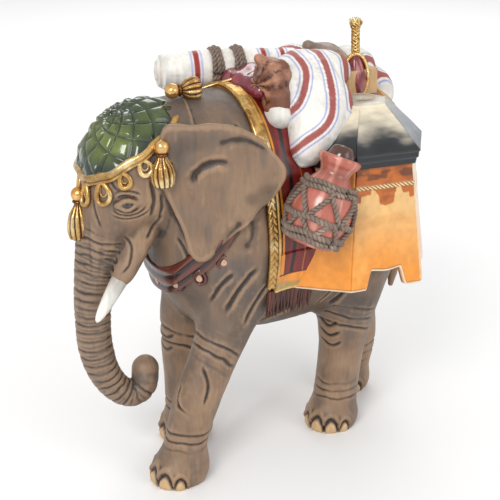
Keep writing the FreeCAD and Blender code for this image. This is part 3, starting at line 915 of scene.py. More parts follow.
def cut_wrinkles():
    trunk = with_turned(TRUNK_PATH)
    skin.rings(TRUNK, trunk, 3.1, 0.42, 0.75, 0.10, 0.97, seed=3)
    skin.rings(TRUNK, trunk, 1.6, 0.15, 0.3, 0.12, 0.97, seed=9, sharp=2)
    legs = {LEG_FL: [(14, -44, 0), (14, -41.2, 15), (14, -37.6, 27), (14, -28.2, 47), (14.5, -21.6, 64)],
            LEG_FR: [(-13.5, -25, 0), (-14, -24.8, 21), (-14, -25.2, 41), (-13.5, -24, 56)],
            LEG_RL: [(10.8, 28, 0), (10.3, 30.2, 23), (10.5, 31.4, 35), (11, 32, 47), (12, 33, 64)],
            LEG_RR: [(-12, 52, 0), (-12.5, 55.5, 22), (-13, 53.5, 35), (-13, 49, 47), (-13, 43, 64)]}
    for label, rows in legs.items():
        skin.rings(label, rows, 3.4, 0.45, 0.7, 0.17, 0.36, lean=1.2, seed=20 + label)
        skin.rings(label, rows, 4.4, 0.5, 0.55, 0.62, 0.86, lean=-2.2, seed=40 + label, face=(0.6, -0.8, 0))
        skin.toes(label)
    eye_folds()
    body_folds()


def eye_folds():
    for flip in (1, -1):
        eye = np.array([15.6 * flip, -57, 107.4])
        for reach, low, high, depth in ((3.3, 200, 352, 0.6), (4.9, 190, 372, 0.45), (6.6, 205, 385, 0.35),
                                        (3.5, 20, 150, 0.7), (5.4, 35, 140, 0.4)):
            a = np.radians(np.linspace(low, high, 7))
            arc = np.stack([np.full(7, eye[0]), eye[1] + reach * 1.25 * np.cos(a),
                            eye[2] + reach * 0.85 * np.sin(a)], -1)
            skin.crease(arc, depth, 0.55, 0.85, head=True)
        for rows, depth, width in ((((19, -50, 118), (19, -48, 108), (18, -49, 98)), 0.9, 1.0),
                                   (((18, -46, 112), (18, -45.5, 104), (16, -46, 96)), 0.5, 0.7),
                                   (((17, -50, 92), (17.5, -47, 96), (18, -45, 101)), 0.6, 0.8),
                                   (((12, -62, 118), (14, -60, 113), (16, -58, 112)), 0.35, 0.7),
                                   (((7, -66, 110), (9, -65, 103), (10, -63.5, 97)), 0.3, 0.7)):
            skin.crease(np.array(rows) * (flip, 1, 1), depth, width, 0.8, head=True)
        for k in range(5):
            z = 93 - 3.1 * k
            low = np.array([(8.5, -65 - 0.2 * k, z), (10.8, -60.5, z - 1.5),
                            (8.0, -56, z - 1.0)]) * (flip, 1, 1)
            skin.crease(low, 0.35, 0.55, 0.6, head=True)
        lip = np.array([(12.2, -58.5, 96), (13.2, -55.5, 91), (13.0, -56.2, 85),
                        (12, -60, 80)]) * (flip, 1, 1)
        skin.crease(lip, 0.5, 0.7, 0.7, head=True)
        hole = np.array([(20, -42.5, 122), (19.5, -43.5, 118), (19.3, -43.8, 113)]) * (flip, 1, 1)
        skin.crease(hole, 1.0, 1.1, 1.0, head=True)
        for rows, depth, width, crease_shade in ((((20.8, -36, 111), (21.4, -34.5, 117), (23.8, -29, 120.5),
                                           (27, -22, 120)),
                                          1.1, 2.0, 0.7),
                                         (((23, -30, 84), (25, -25, 94), (27.5, -18, 103)), 0.7, 2.6, 0.35),
                                         (((26, -22, 86), (29, -14, 96), (31, -8, 106)), 0.6, 2.4, 0.3),
                                         (((22.5, -31, 126), (27, -20, 128), (31, -9, 122)), 0.5, 2.4, 0.3)):
            skin.crease(np.array(rows) * (flip, 1, 1), depth, width, crease_shade, head=True)


def body_folds():
    for flip in (1, -1):
        for rows, depth, width, dark in (
                (((29, -18, 84), (27, -26, 74), (23, -32, 62)), 0.9, 1.3, 0.7),
                (((28, -12, 78), (26, -19, 68), (24, -24, 58)), 0.8, 1.2, 0.65),
                (((26, -26, 82), (23, -32, 75), (19, -36, 66)), 0.7, 1.1, 0.6),
                (((28, -8, 66), (26, -12, 58), (24, -18, 52)), 0.7, 1.1, 0.6),
                (((27, 0, 58), (22, -6, 52), (17, -10, 50)), 0.8, 1.4, 0.6),
                (((29, 24, 66), (25, 20, 58), (19, 17, 52)), 1.0, 1.5, 0.8),
                (((30, 20, 70), (27, 15, 60), (21, 11, 53)), 0.6, 1.1, 0.5),
                (((26, 44, 78), (25, 47, 66), (22, 47, 54)), 0.6, 1.2, 0.5),
                (((20, 58, 96), (22, 55, 84), (22, 52, 72)), 0.6, 1.2, 0.5),
                (((12, 64, 98), (14, 62, 86), (14, 60, 74)), 0.5, 1.1, 0.5),
                (((24, -4, 118), (25, -10, 112), (25, -16, 104)), 0.5, 1.1, 0.45),
                (((16, -22, 132), (20, -20, 128), (24, -19, 122)), 0.35, 0.9, 0.4),
                (((15, -27, 131), (19, -26, 127), (23, -25, 120)), 0.35, 0.9, 0.4),
                (((8, -38, 96), (12, -37, 88), (15, -35, 78)), 0.5, 0.9, 0.5)):
            skin.crease(np.array(rows) * (flip, 1, 1), depth, width, dark)
    for rows, depth, width in ((((12, -46, 40), (13.5, -41, 32), (15, -38, 25)), 1.0, 0.8),
                               (((18, -36, 46), (19, -35, 38), (18.5, -38, 29)), 0.7, 0.8),
                               (((20, 22, 47), (14, 21, 44), (8, 23, 48)), 0.9, 1.0),
                               (((20, 24, 43), (14, 22.5, 40), (7, 24, 43)), 0.8, 0.9),
                               (((19, 26, 39), (14, 24, 36), (7, 25, 39)), 0.5, 0.8),
                               (((-4, 40, 47), (-12, 38, 44), (-20, 41, 48)), 0.8, 1.0),
                               (((-6, -34, 46), (-13, -35, 43), (-20, -33, 46)), 0.8, 1.0),
                               (((-7, -34, 41), (-13, -35.5, 38), (-20, -33, 41)), 0.6, 0.9)):
        skin.crease(rows, depth, width, 0.8)


cut_wrinkles()
skin.finish()
skin.split(painted("skin_paint", rough=0.44, streak=0.22, streak_size=950, stretch=(1, 1, 0.2), blotch=0.25,
                   blotch_size=110, relief=0.35, relief_size=1500, relief_depth=0.00025,
                   Specular_IOR_Level=0.4))


# ---------------------------------------- head: cap, lace, tassels, eyes and tusks

def cast(clay, origins, directions, height, rounds=40):
    """Walk outwards from inside the clay to the given height over its surface."""
    directions = unit(directions)
    t = np.zeros(np.broadcast(origins, directions).shape[:-1])
    for _ in range(rounds):
        gap = height - clay.sample(origins + directions * t[..., None])
        t = np.maximum(t + 0.85 * np.clip(gap, -3, 6), 0)
    return origins + directions * t[..., None]


RIM_TILT = math.radians(30)
CAP_CENTRE = np.array([0.0, -51.5, 124.6])
CAP_POLE = np.array([0.0, -math.sin(RIM_TILT), math.cos(RIM_TILT)])
CAP_AHEAD = np.array([0.0, -math.cos(RIM_TILT), -math.sin(RIM_TILT)])
skull = Clay((-32, -78, 84), (34, -22, 143), 0.5)
skull.barrel(SKULL, 5, straight=True)
skull.limb(with_turned(TRUNK_PATH[:3]), 5)


def on_cap(around, polar, height):
    """Point over the skull: around is 0 at the brow and grows to the left, polar is 90 at the rim."""
    a, p = np.radians(around)[..., None], np.radians(polar)[..., None]
    flat = np.cos(a) * CAP_AHEAD + np.sin(a) * np.array([1.0, 0, 0])
    direction = np.sin(p) * flat + np.cos(p) * CAP_POLE
    middle = turn_head(CAP_CENTRE)
    aimed = turn_head(CAP_CENTRE + direction) - middle
    return cast(skull, middle, aimed, height)


CAP_SHADE_GREEN, CAP_HIGHLIGHT_OLIVE, CAP_GREEN = srgb(14, 34, 22), srgb(98, 112, 42), srgb(24, 48, 26)
QUILT = 36.0     # degrees round the cap for one diamond
GOLD, GOLD_PALE = srgb(200, 160, 96), srgb(236, 212, 156)
GOLD_DEEP, GOLD_RED = srgb(120, 78, 40), srgb(84, 24, 12)


def build_cap():
    rows, columns = ((130, 340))
    polar = np.linspace(0.5, 90, rows)[:, None]
    around = np.linspace(0, 360, columns, endpoint=False)[None, :]
    around, polar = np.broadcast_arrays(around, polar)
    base = on_cap(around, polar, 1.2)
    flat = straight_head(base)
    level = np.log(np.tan(np.radians(np.maximum(polar, 12)) / 2)) / np.radians(QUILT)
    across = around / QUILT
    rising, falling = across + level, across - level
    size = 9.0 * np.sin(np.radians(np.maximum(polar, 12)))
    du, dv = (np.abs(way - np.round(way)) * size for way in (rising, falling))
    seam = np.maximum(bump_line(du, 0.3), bump_line(dv, 0.3))
    puff = 0.75 * (1 - np.exp(-(np.minimum(du, dv) / 1.3) ** 2))
    top = on_cap(around, polar, 1.9) + (puff - 0.25 * seam)[..., None] * unit(base - turn_head(CAP_CENTRE))
    colors = np.broadcast_to(np.array(CAP_GREEN), top.shape)
    # painted highlight: a lighter olive patch on the front and top of the cap, brightest on the puffs of the
    # quilting
    cap_highlight = np.exp(-((flat[..., 1] + 59) / 9) ** 2 - ((flat[..., 2] - 127) / 8) ** 2)
    cap_highlight = np.maximum(cap_highlight,
                       0.55 * np.exp(-((flat[..., 1] + 47) / 9) ** 2 - ((flat[..., 2] - 132) / 6) ** 2))
    colors = tint(colors, cap_highlight * (0.55 + 0.75 * puff), CAP_HIGHLIGHT_OLIVE)
    # painted shade: the cap darkens towards its rim, outside the painted highlight and along the quilting
    # seams
    colors = tint(colors, 0.8 * smoothstep(72, 90, polar) + 0.25 * (1 - cap_highlight), CAP_SHADE_GREEN)
    colors = tint(colors, 0.55 * seam, CAP_SHADE_GREEN)
    inner = on_cap(around, polar, -0.6)
    n = rows * columns
    upper = grid_faces(rows, columns, True)
    faces = [tuple(f) for f in upper] + [tuple(f[::-1] + n) for f in upper]
    low = (rows - 1) * columns
    faces += [(low + j, low + (j + 1) % columns, n + low + (j + 1) % columns, n + low + j)
              for j in range(columns)]
    faces += [tuple(range(columns))[::-1], tuple(n + j for j in range(columns))]
    points = np.vstack([top.reshape(-1, 3), inner.reshape(-1, 3)])
    paint = painted("cap_paint", rough=0.16, streak=0.45, streak_size=800, stretch=(1, 1, 0.5), blotch=0.2,
                    relief=0.12, relief_size=500, Coat_Weight=0.6, Coat_Roughness=0.08)
    add_piece("skullcap_quilted", points, outward(points, faces), np.vstack([colors.reshape(-1, 3)] * 2),
              paint,
              ("skullcap",))


def gilt(name, rough=0.26, metallic=0.75, **sockets):
    return painted(name, rough=rough, streak=0.5, streak_size=700, stretch=(1, 1, 1), blotch=0.45,
                   blotch_size=260,
                   relief=0.3, relief_size=900, relief_depth=0.0003, Metallic=metallic, **sockets)


def ring_tube(line, radius, sides=10):
    """Closed tube: the path runs a little over its own start."""
    return tube(np.vstack([line, line[:1]]), radius, sides)


def gold_colors(points, seed, dark=0.5):
    """Pale gilding with brown antiquing in patches."""
    c = np.broadcast_to(np.array(GOLD), points.shape)
    c = tint(c, smoothstep(-0.2, 0.7, fbm(points, 5, 2, seed)), GOLD_PALE)
    return tint(c, dark * smoothstep(0.1, 0.8, fbm(points, 3.5, 2, seed + 5)), GOLD_DEEP)


def build_lace(gold):
    parts = []
    around = np.linspace(0, 360, 200, endpoint=False)
    for polar, height, radius in ((91.5, 1.5, 1.5), (96.5, 0.9, 0.75)):
        line = on_cap(around, polar + 0.8 * np.sin(np.radians(around) * 9), height)
        p, f = ring_tube(line, radius)
        parts.append((p, f, gold_colors(p, 41)))
    count = 15
    for k in range(count):
        middle = k * 360 / count + 12
        half, tall = (8.4, 13.5) if k % 2 else (6.6, 11.5)
        t = np.linspace(0, 2 * math.pi, 40, endpoint=False)
        across = half * np.sin(t) * (0.55 + 0.45 * (0.5 - 0.5 * np.cos(t)))
        down = 97 + tall * (0.5 - 0.5 * np.cos(t))
        p, f = ring_tube(on_cap(middle + across, down, 0.7), 0.85, 10)
        parts.append((p, f, gold_colors(p, 47 + k)))
        p, f = ring_tube(on_cap(middle + across * 0.55, 98.5 + 0.62 * (down - 97), 0.35), 0.4, 8)
        parts.append((p, f, tint(gold_colors(p, 47 + k), 0.5, GOLD_DEEP)))
    points, faces, colors = join(parts)
    add_piece("cap_lace_loops", points, faces, colors, gold, ("cap_lace",))


def fluted(around, height, radius):
    """Radius of a tassel's skirt, gathered into flutes."""
    return radius * (1 + 0.17 * (np.abs(np.cos(5.5 * around + 0.12 * height)) - 0.6))


def build_tassels(gold):
    turn = np.linspace(0, 2 * math.pi, 24, endpoint=False)
    waist = np.stack([1.75 * np.cos(turn), 1.75 * np.sin(turn), np.full(24, 2.5)], -1)
    spots = {"front": ((0.5, -69.6, 107.5), (0, -0.5, -15)), "back": ((3, -36.5, 140.6), (0, 9, 0.4)),
             "left": ((19.4, -45.5, 126.5), (0.6, 0, -12.5)),
             "right": ((-19.4, -45.5, 126.5), (-0.6, 0, -12.5))}
    for side, (bead, drop) in spots.items():
        bead = turn_head(np.array(bead))
        drop = turn_head(np.array(drop) + HEAD_PIVOT) - HEAD_PIVOT
        length = float(np.linalg.norm(drop))
        matrix = aim(drop)
        t = np.linspace(0.04, math.pi - 0.25, 22)
        head, head_faces = lathe(np.stack([2.6 * np.sin(t), -2.6 * np.cos(t)], -1), 40, bead, matrix)
        head_colors = tint(gold_colors(head, 61, 0.2), 0.45, srgb(226, 150, 50))
        z = np.linspace(0, 1, 34)
        width = np.interp(z, [0, 0.06, 0.16, 0.4, 0.68, 0.86, 1], [1.3, 1.25, 1.7, 3.3, 3.9, 3.7, 3.1])
        profile = np.stack([width, 2.0 + z * (length - 1.4)], -1)
        profile = np.vstack([profile, [(2.2, length - 0.1), (0.5, length - 1.6)]])
        skirt, skirt_faces = lathe(profile, 110, bead, matrix, fluted)
        local = (skirt - bead) @ matrix
        a = np.arctan2(local[:, 1], local[:, 0])
        ridge = np.abs(np.cos(5.5 * a + 0.12 * local[:, 2]))
        colors = tint(gold_colors(skirt, 71, 0.25), 1 - smoothstep(0.2, 0.62, ridge), GOLD_RED)
        colors = tint(colors, 0.75 * bump_line(local[:, 2] - 2.6, 1.3), GOLD_RED)
        colors = tint(colors, 0.5 * smoothstep(0.2, 0.8, noise(skirt, 4, 77)), GOLD_RED)
        bind, bind_faces = ring_tube(bead + waist @ matrix.T, 0.45, 8)
        points, faces, colors = join([(head, head_faces, head_colors), (skirt, skirt_faces, colors),
                                      (bind, bind_faces, GOLD_DEEP)])
        add_piece("tassel_" + side + "_gilt", points, faces, colors, gold, ("tassel_" + side,))


def build_eyes():
    parts = []
    for flip in (1, -1):
        centre = turn_head(np.array([15.6 * flip, -57, 107.4]))
        look = turn_head(np.array([flip, -0.35, 0.05]) + HEAD_PIVOT) - HEAD_PIVOT
        t = np.linspace(0.03, math.pi - 0.03, 40)
        p, f = lathe(np.stack([2.35 * np.sin(t), -2.35 * np.cos(t)], -1), 48, centre, aim(look))
        off = np.degrees(np.arccos(np.clip(unit(p - centre) @ unit(look), -1, 1)))
        c = np.broadcast_to(np.array(srgb(84, 78, 74)), p.shape)
        c = tint(c, 1 - smoothstep(54, 62, off), srgb(24, 16, 12))
        c = tint(c, 1 - smoothstep(15, 18, off), srgb(4, 4, 4))
        c = tint(c, bump_line(off - 31, 5) * 0.5, srgb(96, 56, 26))
        parts.append((p, f, c))
    points, faces, colors = join(parts)
    paint = painted("eye_paint", rough=0.05, streak=0.1, blotch=0.05, relief=0.0, Coat_Weight=1.0,
                    Coat_Roughness=0.02)
    add_piece("eyes_glossy", points, faces, colors, paint, ("eyes",))


def build_tusks():
    paint = painted("ivory_paint", rough=0.3, streak=0.3, streak_size=500, stretch=(1, 1, 0.15), blotch=0.25,
                    blotch_size=200, relief=0.2, relief_size=700, Coat_Weight=0.25)
    for side, flip in (("left", 1), ("right", -1)):
        rows = np.array([(9.3, -51, 91, 2.9), (9.5, -53, 88, 3.1), (10.5, -56.5, 83, 3.1),
                         (11.6, -61, 76.5, 2.8),
                         (12.2, -65.5, 69.5, 2.0), (12.4, -67.6, 66.2, 1.15), (12.45, -68.2, 65.0, 0.35)])
        line = spline(rows * (flip, 1, 1, 1), 80)
        p, f = tube(turn_head(line[:, :3]), line[:, 3], 28)
        c = np.broadcast_to(np.array(srgb(232, 230, 222)), p.shape)
        share = np.repeat(np.linspace(0, 1, 80), 28)
        c = tint(c, 0.6 * (1 - smoothstep(0.45, 0.6, share)), srgb(120, 108, 94))
        c = tint(c, 0.35 * smoothstep(0.0, 0.7, fbm(p * (1, 1, 0.3), 3, 2, 81)), srgb(170, 166, 158))
        add_piece("tusk_" + side + "_ivory", p, f, c, paint, ("tusk_" + side,))


gold_paint = gilt("gold_leaf_paint")
build_cap()
build_lace(gold_paint)
build_tassels(gilt("tassel_paint", rough=0.18, metallic=0.8))
build_eyes()
build_tusks()


# ---------------------------------------- blanket, braid, side panels, fringe and collar

MAROON, MAROON_DARK, BLACK = srgb(118, 24, 18), srgb(62, 10, 9), srgb(20, 12, 12)
ORANGE, OCHRE, OLIVE_GOLD = srgb(226, 140, 38), srgb(214, 164, 84), srgb(166, 138, 72)
BLANKET_FRONT, BLANKET_REAR, HEM, PANEL_FOOT = -16.0, 52.0, 86.0, 71.0
torso = model_skin(1.0, bare=True)


def over_back(y, angle, height):
    """Point over the torso at a place along it and an angle from straight up, positive to the left."""
    y, a = np.broadcast_arrays(y, np.radians(angle))
    origins = np.stack([np.zeros_like(y), y, np.full_like(y, 92.0)], -1)
    return cast(torso, origins, np.stack([np.sin(a), np.zeros_like(a), np.cos(a)], -1), height)


def beside(y, z, height, flip):
    """Point over the flank at a place along it and a height."""
    y, z = np.broadcast_arrays(y, z)
    origins = np.stack([np.zeros_like(y), y, z], -1)
    out = cast(torso, origins, np.broadcast_to(np.array([float(flip), 0, 0]), origins.shape), 0)
    return out + height * np.array([flip, 0, 0])


def blanket_colors(points):
    """Maroon field with wavy black stripes and a gold line, inside an orange border."""
    y = points[..., 1] + 0.35 * np.sin(points[..., 2] * 0.33) + 0.25 * noise(points, 6, 91)
    c = np.broadcast_to(np.array(MAROON), points.shape)
    c = tint(c, 0.6 * smoothstep(-0.3, 0.8, fbm(points * (1, 1, 0.2), 3, 2, 92)), MAROON_DARK)
    for start in np.arange(BLANKET_FRONT + 9.0, BLANKET_REAR, 9.4):
        c = tint(c, band(y, start, start + 1.5, 0.2), BLACK)
        c = tint(c, band(y, start + 5.0, start + 5.4, 0.12), srgb(178, 104, 44))
    for edge in (BLANKET_FRONT + 6.1, BLANKET_REAR - 6.1):
        side = (points[..., 1] - edge) * (-1 if edge < 0 else 1)
        c = tint(c, smoothstep(-0.15, 0.15, side), ORANGE)
        c = tint(c, bump_line(side, 0.25), BLACK)
    return c


def build_blanket():
    rows, columns = ((200, 300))
    y = np.linspace(BLANKET_FRONT, BLANKET_REAR, rows)[:, None]
    share = np.linspace(-1, 1, columns)[None, :]
    angle = share * 101.0
    flat = over_back(y, angle, 0.0)
    height = 1.5 + 0.22 * fbm(flat * (1, 1, 0.4), 8, 3, 95)
    top = over_back(y, angle, height)
    below = over_back(y, angle, -0.8)
    for grid in (top, below):
        grid[..., 2] = np.maximum(grid[..., 2], HEM - 0.6)
    points, faces = slab(top, below)
    colors = blanket_colors(points)
    paint = painted("blanket_paint", rough=0.3, streak=0.4, streak_size=600, stretch=(1, 1, 0.15), blotch=0.3,
                    relief=0.2, Coat_Weight=0.2, Coat_Roughness=0.2)
    add_piece("saddle_blanket_painted", points, faces, colors, paint, ("saddle_blanket",))
    return paint


def braid_height(across, along, width):
    """Two rows of slanting plaited strands between flat edges; 0 to 1 high."""
    u = across / width
    row = np.where(u < 0.5, u * 2, u * 2 - 1)
    slant = np.where(u < 0.5, 1.0, -1.0)
    cell = (along / 2.3 + slant * (row - 0.5) * 0.75) % 1.0
    leaf = np.sqrt(np.clip(1 - (2 * cell - 1) ** 2, 0, 1))
    return leaf * np.sqrt(np.clip(1 - (2 * row - 1) ** 4, 0, 1))


def build_braid(gold):
    parts = []
    columns = 900
    for start, mirror in ((BLANKET_FRONT - 0.4, 1), (BLANKET_REAR + 0.4, -1)):
        across = np.linspace(0, 5.6, 24)[:, None]
        angle = np.linspace(-122, 122, columns)[None, :]
        y = start + mirror * across
        flat = over_back(y, angle, 0.0)
        along = arc_length(flat[0])[None, :] + 0 * across
        on_braid = 1 - smoothstep(3.1, 3.3, across)
        upper = smoothstep(118, 128, flat[..., 2] + 2 * noise(flat, 8, 98))
        raised = 0.55 * braid_height(across, along, 3.2) * on_braid * (1 - 0.85 * upper)
        wire = np.sqrt(np.clip(1 - ((across - 4.1) / 0.55) ** 2, 0, 1)) * (1 - upper)
        edge = np.clip(np.minimum(across, 5.6 - across) / 0.5, 0, 1)
        height = 1.35 + 0.55 * np.sqrt(edge) + raised + 0.45 * wire
        top = over_back(y, angle, height)
        below = over_back(y, angle, 0.6)
        keep = (top[..., 2] > 71.2).all(axis=0)
        top, below = top[:, keep], below[:, keep]
        p, f = slab(top, below)
        c = gold_colors(top.reshape(-1, 3), 103, 0.35)
        # painted shade: the low gaps between the braid's strands and beside the wire are darkened
        dark = (1 - smoothstep(0.05, 0.35, raised + wire)) * (1 - upper)
        dark = np.maximum(dark, 0)[:, keep].reshape(-1)
        c = tint(c, 0.85 * dark, srgb(58, 34, 18))
        c = tint(c, 0.65 * upper[:, keep].reshape(-1), OCHRE)
        patches = upper[:, keep].reshape(-1) * smoothstep(0.15, 0.6,
                                                          fbm(top.reshape(-1, 3) * (1, 1, 0.6), 4, 3, 107))
        c = tint(c, 0.7 * patches, srgb(120, 74, 30))
        parts.append((p, f, np.vstack([c, c])))
    points, faces, colors = join(parts)
    add_piece("blanket_braid_gilt", points, faces, colors, gold, ("blanket_braid",))


def build_panels(paint):
    for side, flip in (("left", 1), ("right", -1)):
        rows, columns = ((110, 380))
        z = np.linspace(PANEL_FOOT, HEM + 1.2, rows)[:, None]
        y = np.linspace(BLANKET_FRONT + 3.5, BLANKET_REAR - 3.5, columns)[None, :]
        flat = beside(y, z, 0, flip)
        height = 2.2 - 0.9 * smoothstep(HEM - 1, HEM + 1, z) + 0.25 * fbm(flat * (1, 1, 0.4), 7, 3, 111)
        border = (1 - smoothstep(6.3, 6.7, z - PANEL_FOOT))
        height = height + 0.35 * border
        top = flat + height[..., None] * np.array([flip, 0, 0])
        below = beside(y, z, -0.5, flip)
        points, faces = slab(top, below)
        c = blanket_colors(points)
        foot = points[:, 2] - PANEL_FOOT
        c = tint(c, 1 - smoothstep(6.4, 6.7, foot), ORANGE)
        c = tint(c, bump_line(foot - 6.7, 0.22), BLACK)
        wavy = foot - 3.6 - 0.6 * np.sin(points[:, 1] * 0.4)
        c = tint(c, 0.9 * (1 - smoothstep(-0.6, 0.6, wavy)), OLIVE_GOLD)
        c = tint(c, 0.8 * bump_line(foot - 0.5, 0.35), srgb(226, 196, 120))
        curl = np.hypot(points[:, 1] - 1.2, points[:, 2] - 79.5)
        c = tint(c, bump_line(curl - 2.3, 0.4) * (points[:, 2] < 79.8) * (points[:, 1] > 0.2),
                 srgb(240, 230, 200))
        add_piece("side_panel_" + side + "_painted", points, faces, c, paint,
                  ("side_panel_" + side,))


def build_fringe():
    paint = painted("fringe_paint", rough=0.35, streak=0.6, streak_size=900, stretch=(1, 1, 0.1), blotch=0.4,
                    relief=0.4, Coat_Weight=0.15)
    rng = np.random.RandomState(5)
    for side, flip in (("left", 1), ("right", -1)):
        parts = []
        for y in np.linspace(-14.6, 3.6, 30):
            for layer in (0, 1):
                z = np.linspace(71.6, 60.6 + rng.uniform(0, 1.6), 9)
                drift = np.cumsum(rng.uniform(-0.16, 0.16, 9))
                yy = y + 0.35 * layer + drift
                x = beside(np.full(9, y), np.full(9, 70.0), 0, flip)[:, 0] * flip
                lean = np.linspace(0, 1, 9) * rng.uniform(-0.5, 0.5)
                line = np.stack([flip * (x + 1.9 - 1.1 * layer - 0.14 * (71 - z) + lean), yy, z], -1)
                width = np.interp(np.linspace(0, 1, 9), [0, 0.1, 0.6, 1], [0.3, 0.42, 0.48, 0.16])
                p, f = tube(line, width, 7)
                light = rng.uniform(0.2, 1.0)
                c = np.array(srgb(34, 14, 10)) * (1 - light) + np.array(srgb(100, 48, 30)) * light
                parts.append((p, f, c * (0.75 + 0.5 * np.repeat(np.linspace(1, 0, 9), 7)[:, None])))
        points, faces, colors = join(parts)
        add_piece("fringe_" + side + "_strands", points, faces, colors, paint,
                  ("fringe_" + side,))


COLLAR_CENTRE = np.array([0.0, -30.0, 96.0])
COLLAR_TILT = math.radians(58)


def on_collar(angle, slide, height):
    """Point round the neck: angle 0 under the throat, slide along the neck's length, height over the skin."""
    angle, slide = np.broadcast_arrays(np.radians(angle), slide)
    c, s = math.cos(COLLAR_TILT), math.sin(COLLAR_TILT)
    ahead, normal = np.array([0.0, -c, -s]), np.array([0.0, -s, c])
    origins = COLLAR_CENTRE - slide[..., None] * normal
    aimed = np.cos(angle)[..., None] * ahead + np.sin(angle)[..., None] * np.array([1.0, 0, 0])
    return cast(torso, origins, aimed, height)


def build_collar():
    paint = painted("collar_paint", rough=0.24, streak=0.5, streak_size=500, blotch=0.4, relief=0.25,
                    Coat_Weight=0.4, Coat_Roughness=0.15)
    brown, dark, rust = srgb(66, 30, 24), srgb(28, 13, 11), srgb(104, 52, 38)
    parts = []
    angle = np.linspace(-100, 100, 160)
    slide = np.linspace(-2.9, 2.9, 26)[:, None]
    ribs = 0.55 * np.abs(np.cos(slide / 2.9 * math.pi))
    height = 0.7 + ribs + 0.08 * np.sin(angle * 0.12)[None, :]
    top, below = on_collar(angle[None, :], slide, height), on_collar(angle[None, :], slide, -0.6)
    p, f = slab(top, below)
    ridge = np.tile(np.repeat(ribs[:, 0] / 0.55, len(angle)), 2)
    parts.append((p, f, tint(np.broadcast_to(np.array(dark), p.shape), ridge ** 2, rust)))
    points, faces, colors = join(parts)
    add_piece("collar_band", points, faces, colors, paint, ("collar",))
    parts = []
    for step in range(-3, 4):
        a = step * 24.0
        rise = 1 - math.cos(math.radians(a))
        centre = np.array([24 * math.sin(math.radians(a)), -42.5 + 18 * rise, 73 + 17 * rise])
        rows = np.linspace(0, 1, 22)[:, None]
        columns = np.linspace(0, 2 * math.pi, 40, endpoint=False)[None, :]
        out = unit(np.array([math.sin(math.radians(a)), -math.cos(math.radians(a)) * 0.9 - 0.1, -0.15]))
        side = unit(np.cross([0, 0, 1.0], out))
        down = unit(np.cross(side, out)) * -1
        down = down if down[2] < 0 else -down
        drop = 1 + 0.45 * np.sin(columns)
        shape_u, shape_v = 2.6 * rows * np.cos(columns) * drop ** 0.5, 3.3 * rows * np.sin(columns)
        dome = 1.5 * np.sqrt(np.clip(1 - rows ** 2, 0, 1)) - 0.9 * bump_line(rows - 0.55, 0.12)
        face = centre + shape_u[..., None] * side + shape_v[..., None] * down + dome[..., None] * out
        n = 22 * 40
        back = centre + shape_u[..., None] * side + shape_v[..., None] * down - 1.2 * out
        p = np.vstack([face.reshape(-1, 3), back.reshape(-1, 3)])
        upper = grid_faces(22, 40, True)
        f = [tuple(q) for q in upper] + [tuple(q[::-1] + n) for q in upper]
        f += [(21 * 40 + j, 21 * 40 + (j + 1) % 40, n + 21 * 40 + (j + 1) % 40, n + 21 * 40 + j)
              for j in range(40)]
        share = np.tile(np.repeat(rows[:, 0], 40), 2)
        c = tint(np.broadcast_to(np.array(brown), p.shape), 1 - smoothstep(0.36, 0.46, share),
                 srgb(196, 156, 128))
        c = tint(c, bump_line(share - 0.55, 0.1), dark)
        c = tint(c, 0.7 * bump_line(share - 0.8, 0.12), rust)
        parts.append((p, outward(p, f), c))
    points, faces, colors = join(parts)
    add_piece("collar_drops", points, faces, colors, paint, ("collar_pendants",))


blanket_paint = build_blanket()
build_braid(gold_paint)
build_panels(blanket_paint)
build_fringe()
build_collar()


# ---------------------------------------- panniers and their roofs

PANNIER_CENTRE, PANNIER_TURN = np.array([21.5, 28.5]), math.radians(-11.5)
PANNIER_BASE, PANNIER_TOP, BASE_SIDE, TOP_SIDE, WALL = 70.5, 114.0, 28.0, 22.0, 2.4
ARCH_HALF, ARCH_HIGH = 8.0, 6.5
FASCIA, ROOF_TOP, ROOF_TOP_SIDE, EAVE_SIDE = 4.5, 133.0, 10.0, 24.2
BUFF, PEACH, RUST, CREAM = srgb(222, 178, 116), srgb(240, 214, 184), srgb(182, 96, 26), srgb(240, 226, 200)


LONG_CORNER = (0.40, -1.175)     # the front corner is drawn out along the blanket


def plan_corner(index):
    """Corner 0 to 5 of the pannier's plan, as a share of its side."""
    angle = math.radians(60 * index + 30)
    return np.array(LONG_CORNER if index % 6 == 4 else (math.cos(angle), math.sin(angle)))


def face_ends(face):
    return plan_corner(face - 1), plan_corner(face)


def pannier_point(face, u, side, z, inset):
    """Point on face 0 to 5 of the hexagon, u from -0.5 to 0.5 along it, moved inwards by inset."""
    start, end = face_ends(face)
    out = np.array([end[1] - start[1], start[0] - end[0]]) / np.linalg.norm(end - start)
    share = np.asarray(u)[..., None] + 0.5
    flat = (start + (end - start) * share) * (np.asarray(side) - 1.155 * np.maximum(inset, 0))[..., None]
    flat = flat - out * np.minimum(inset, 0)[..., None]
    x, y = flat[..., 0], flat[..., 1]
    c, s = math.cos(PANNIER_TURN), math.sin(PANNIER_TURN)
    return np.stack([c * x - s * y + PANNIER_CENTRE[0], s * x + c * y + PANNIER_CENTRE[1],
                     np.broadcast_to(z, x.shape)], -1)


def arch_foot(mm):
    """Height of the wall's foot over the base: a flat arch with rounded shoulders."""
    x = np.abs(mm)
    return ARCH_HIGH * (1 - smoothstep(ARCH_HALF - 2.2, ARCH_HALF + 0.2, x)) * (1 - 0.06 * np.cos(mm * 0.4))


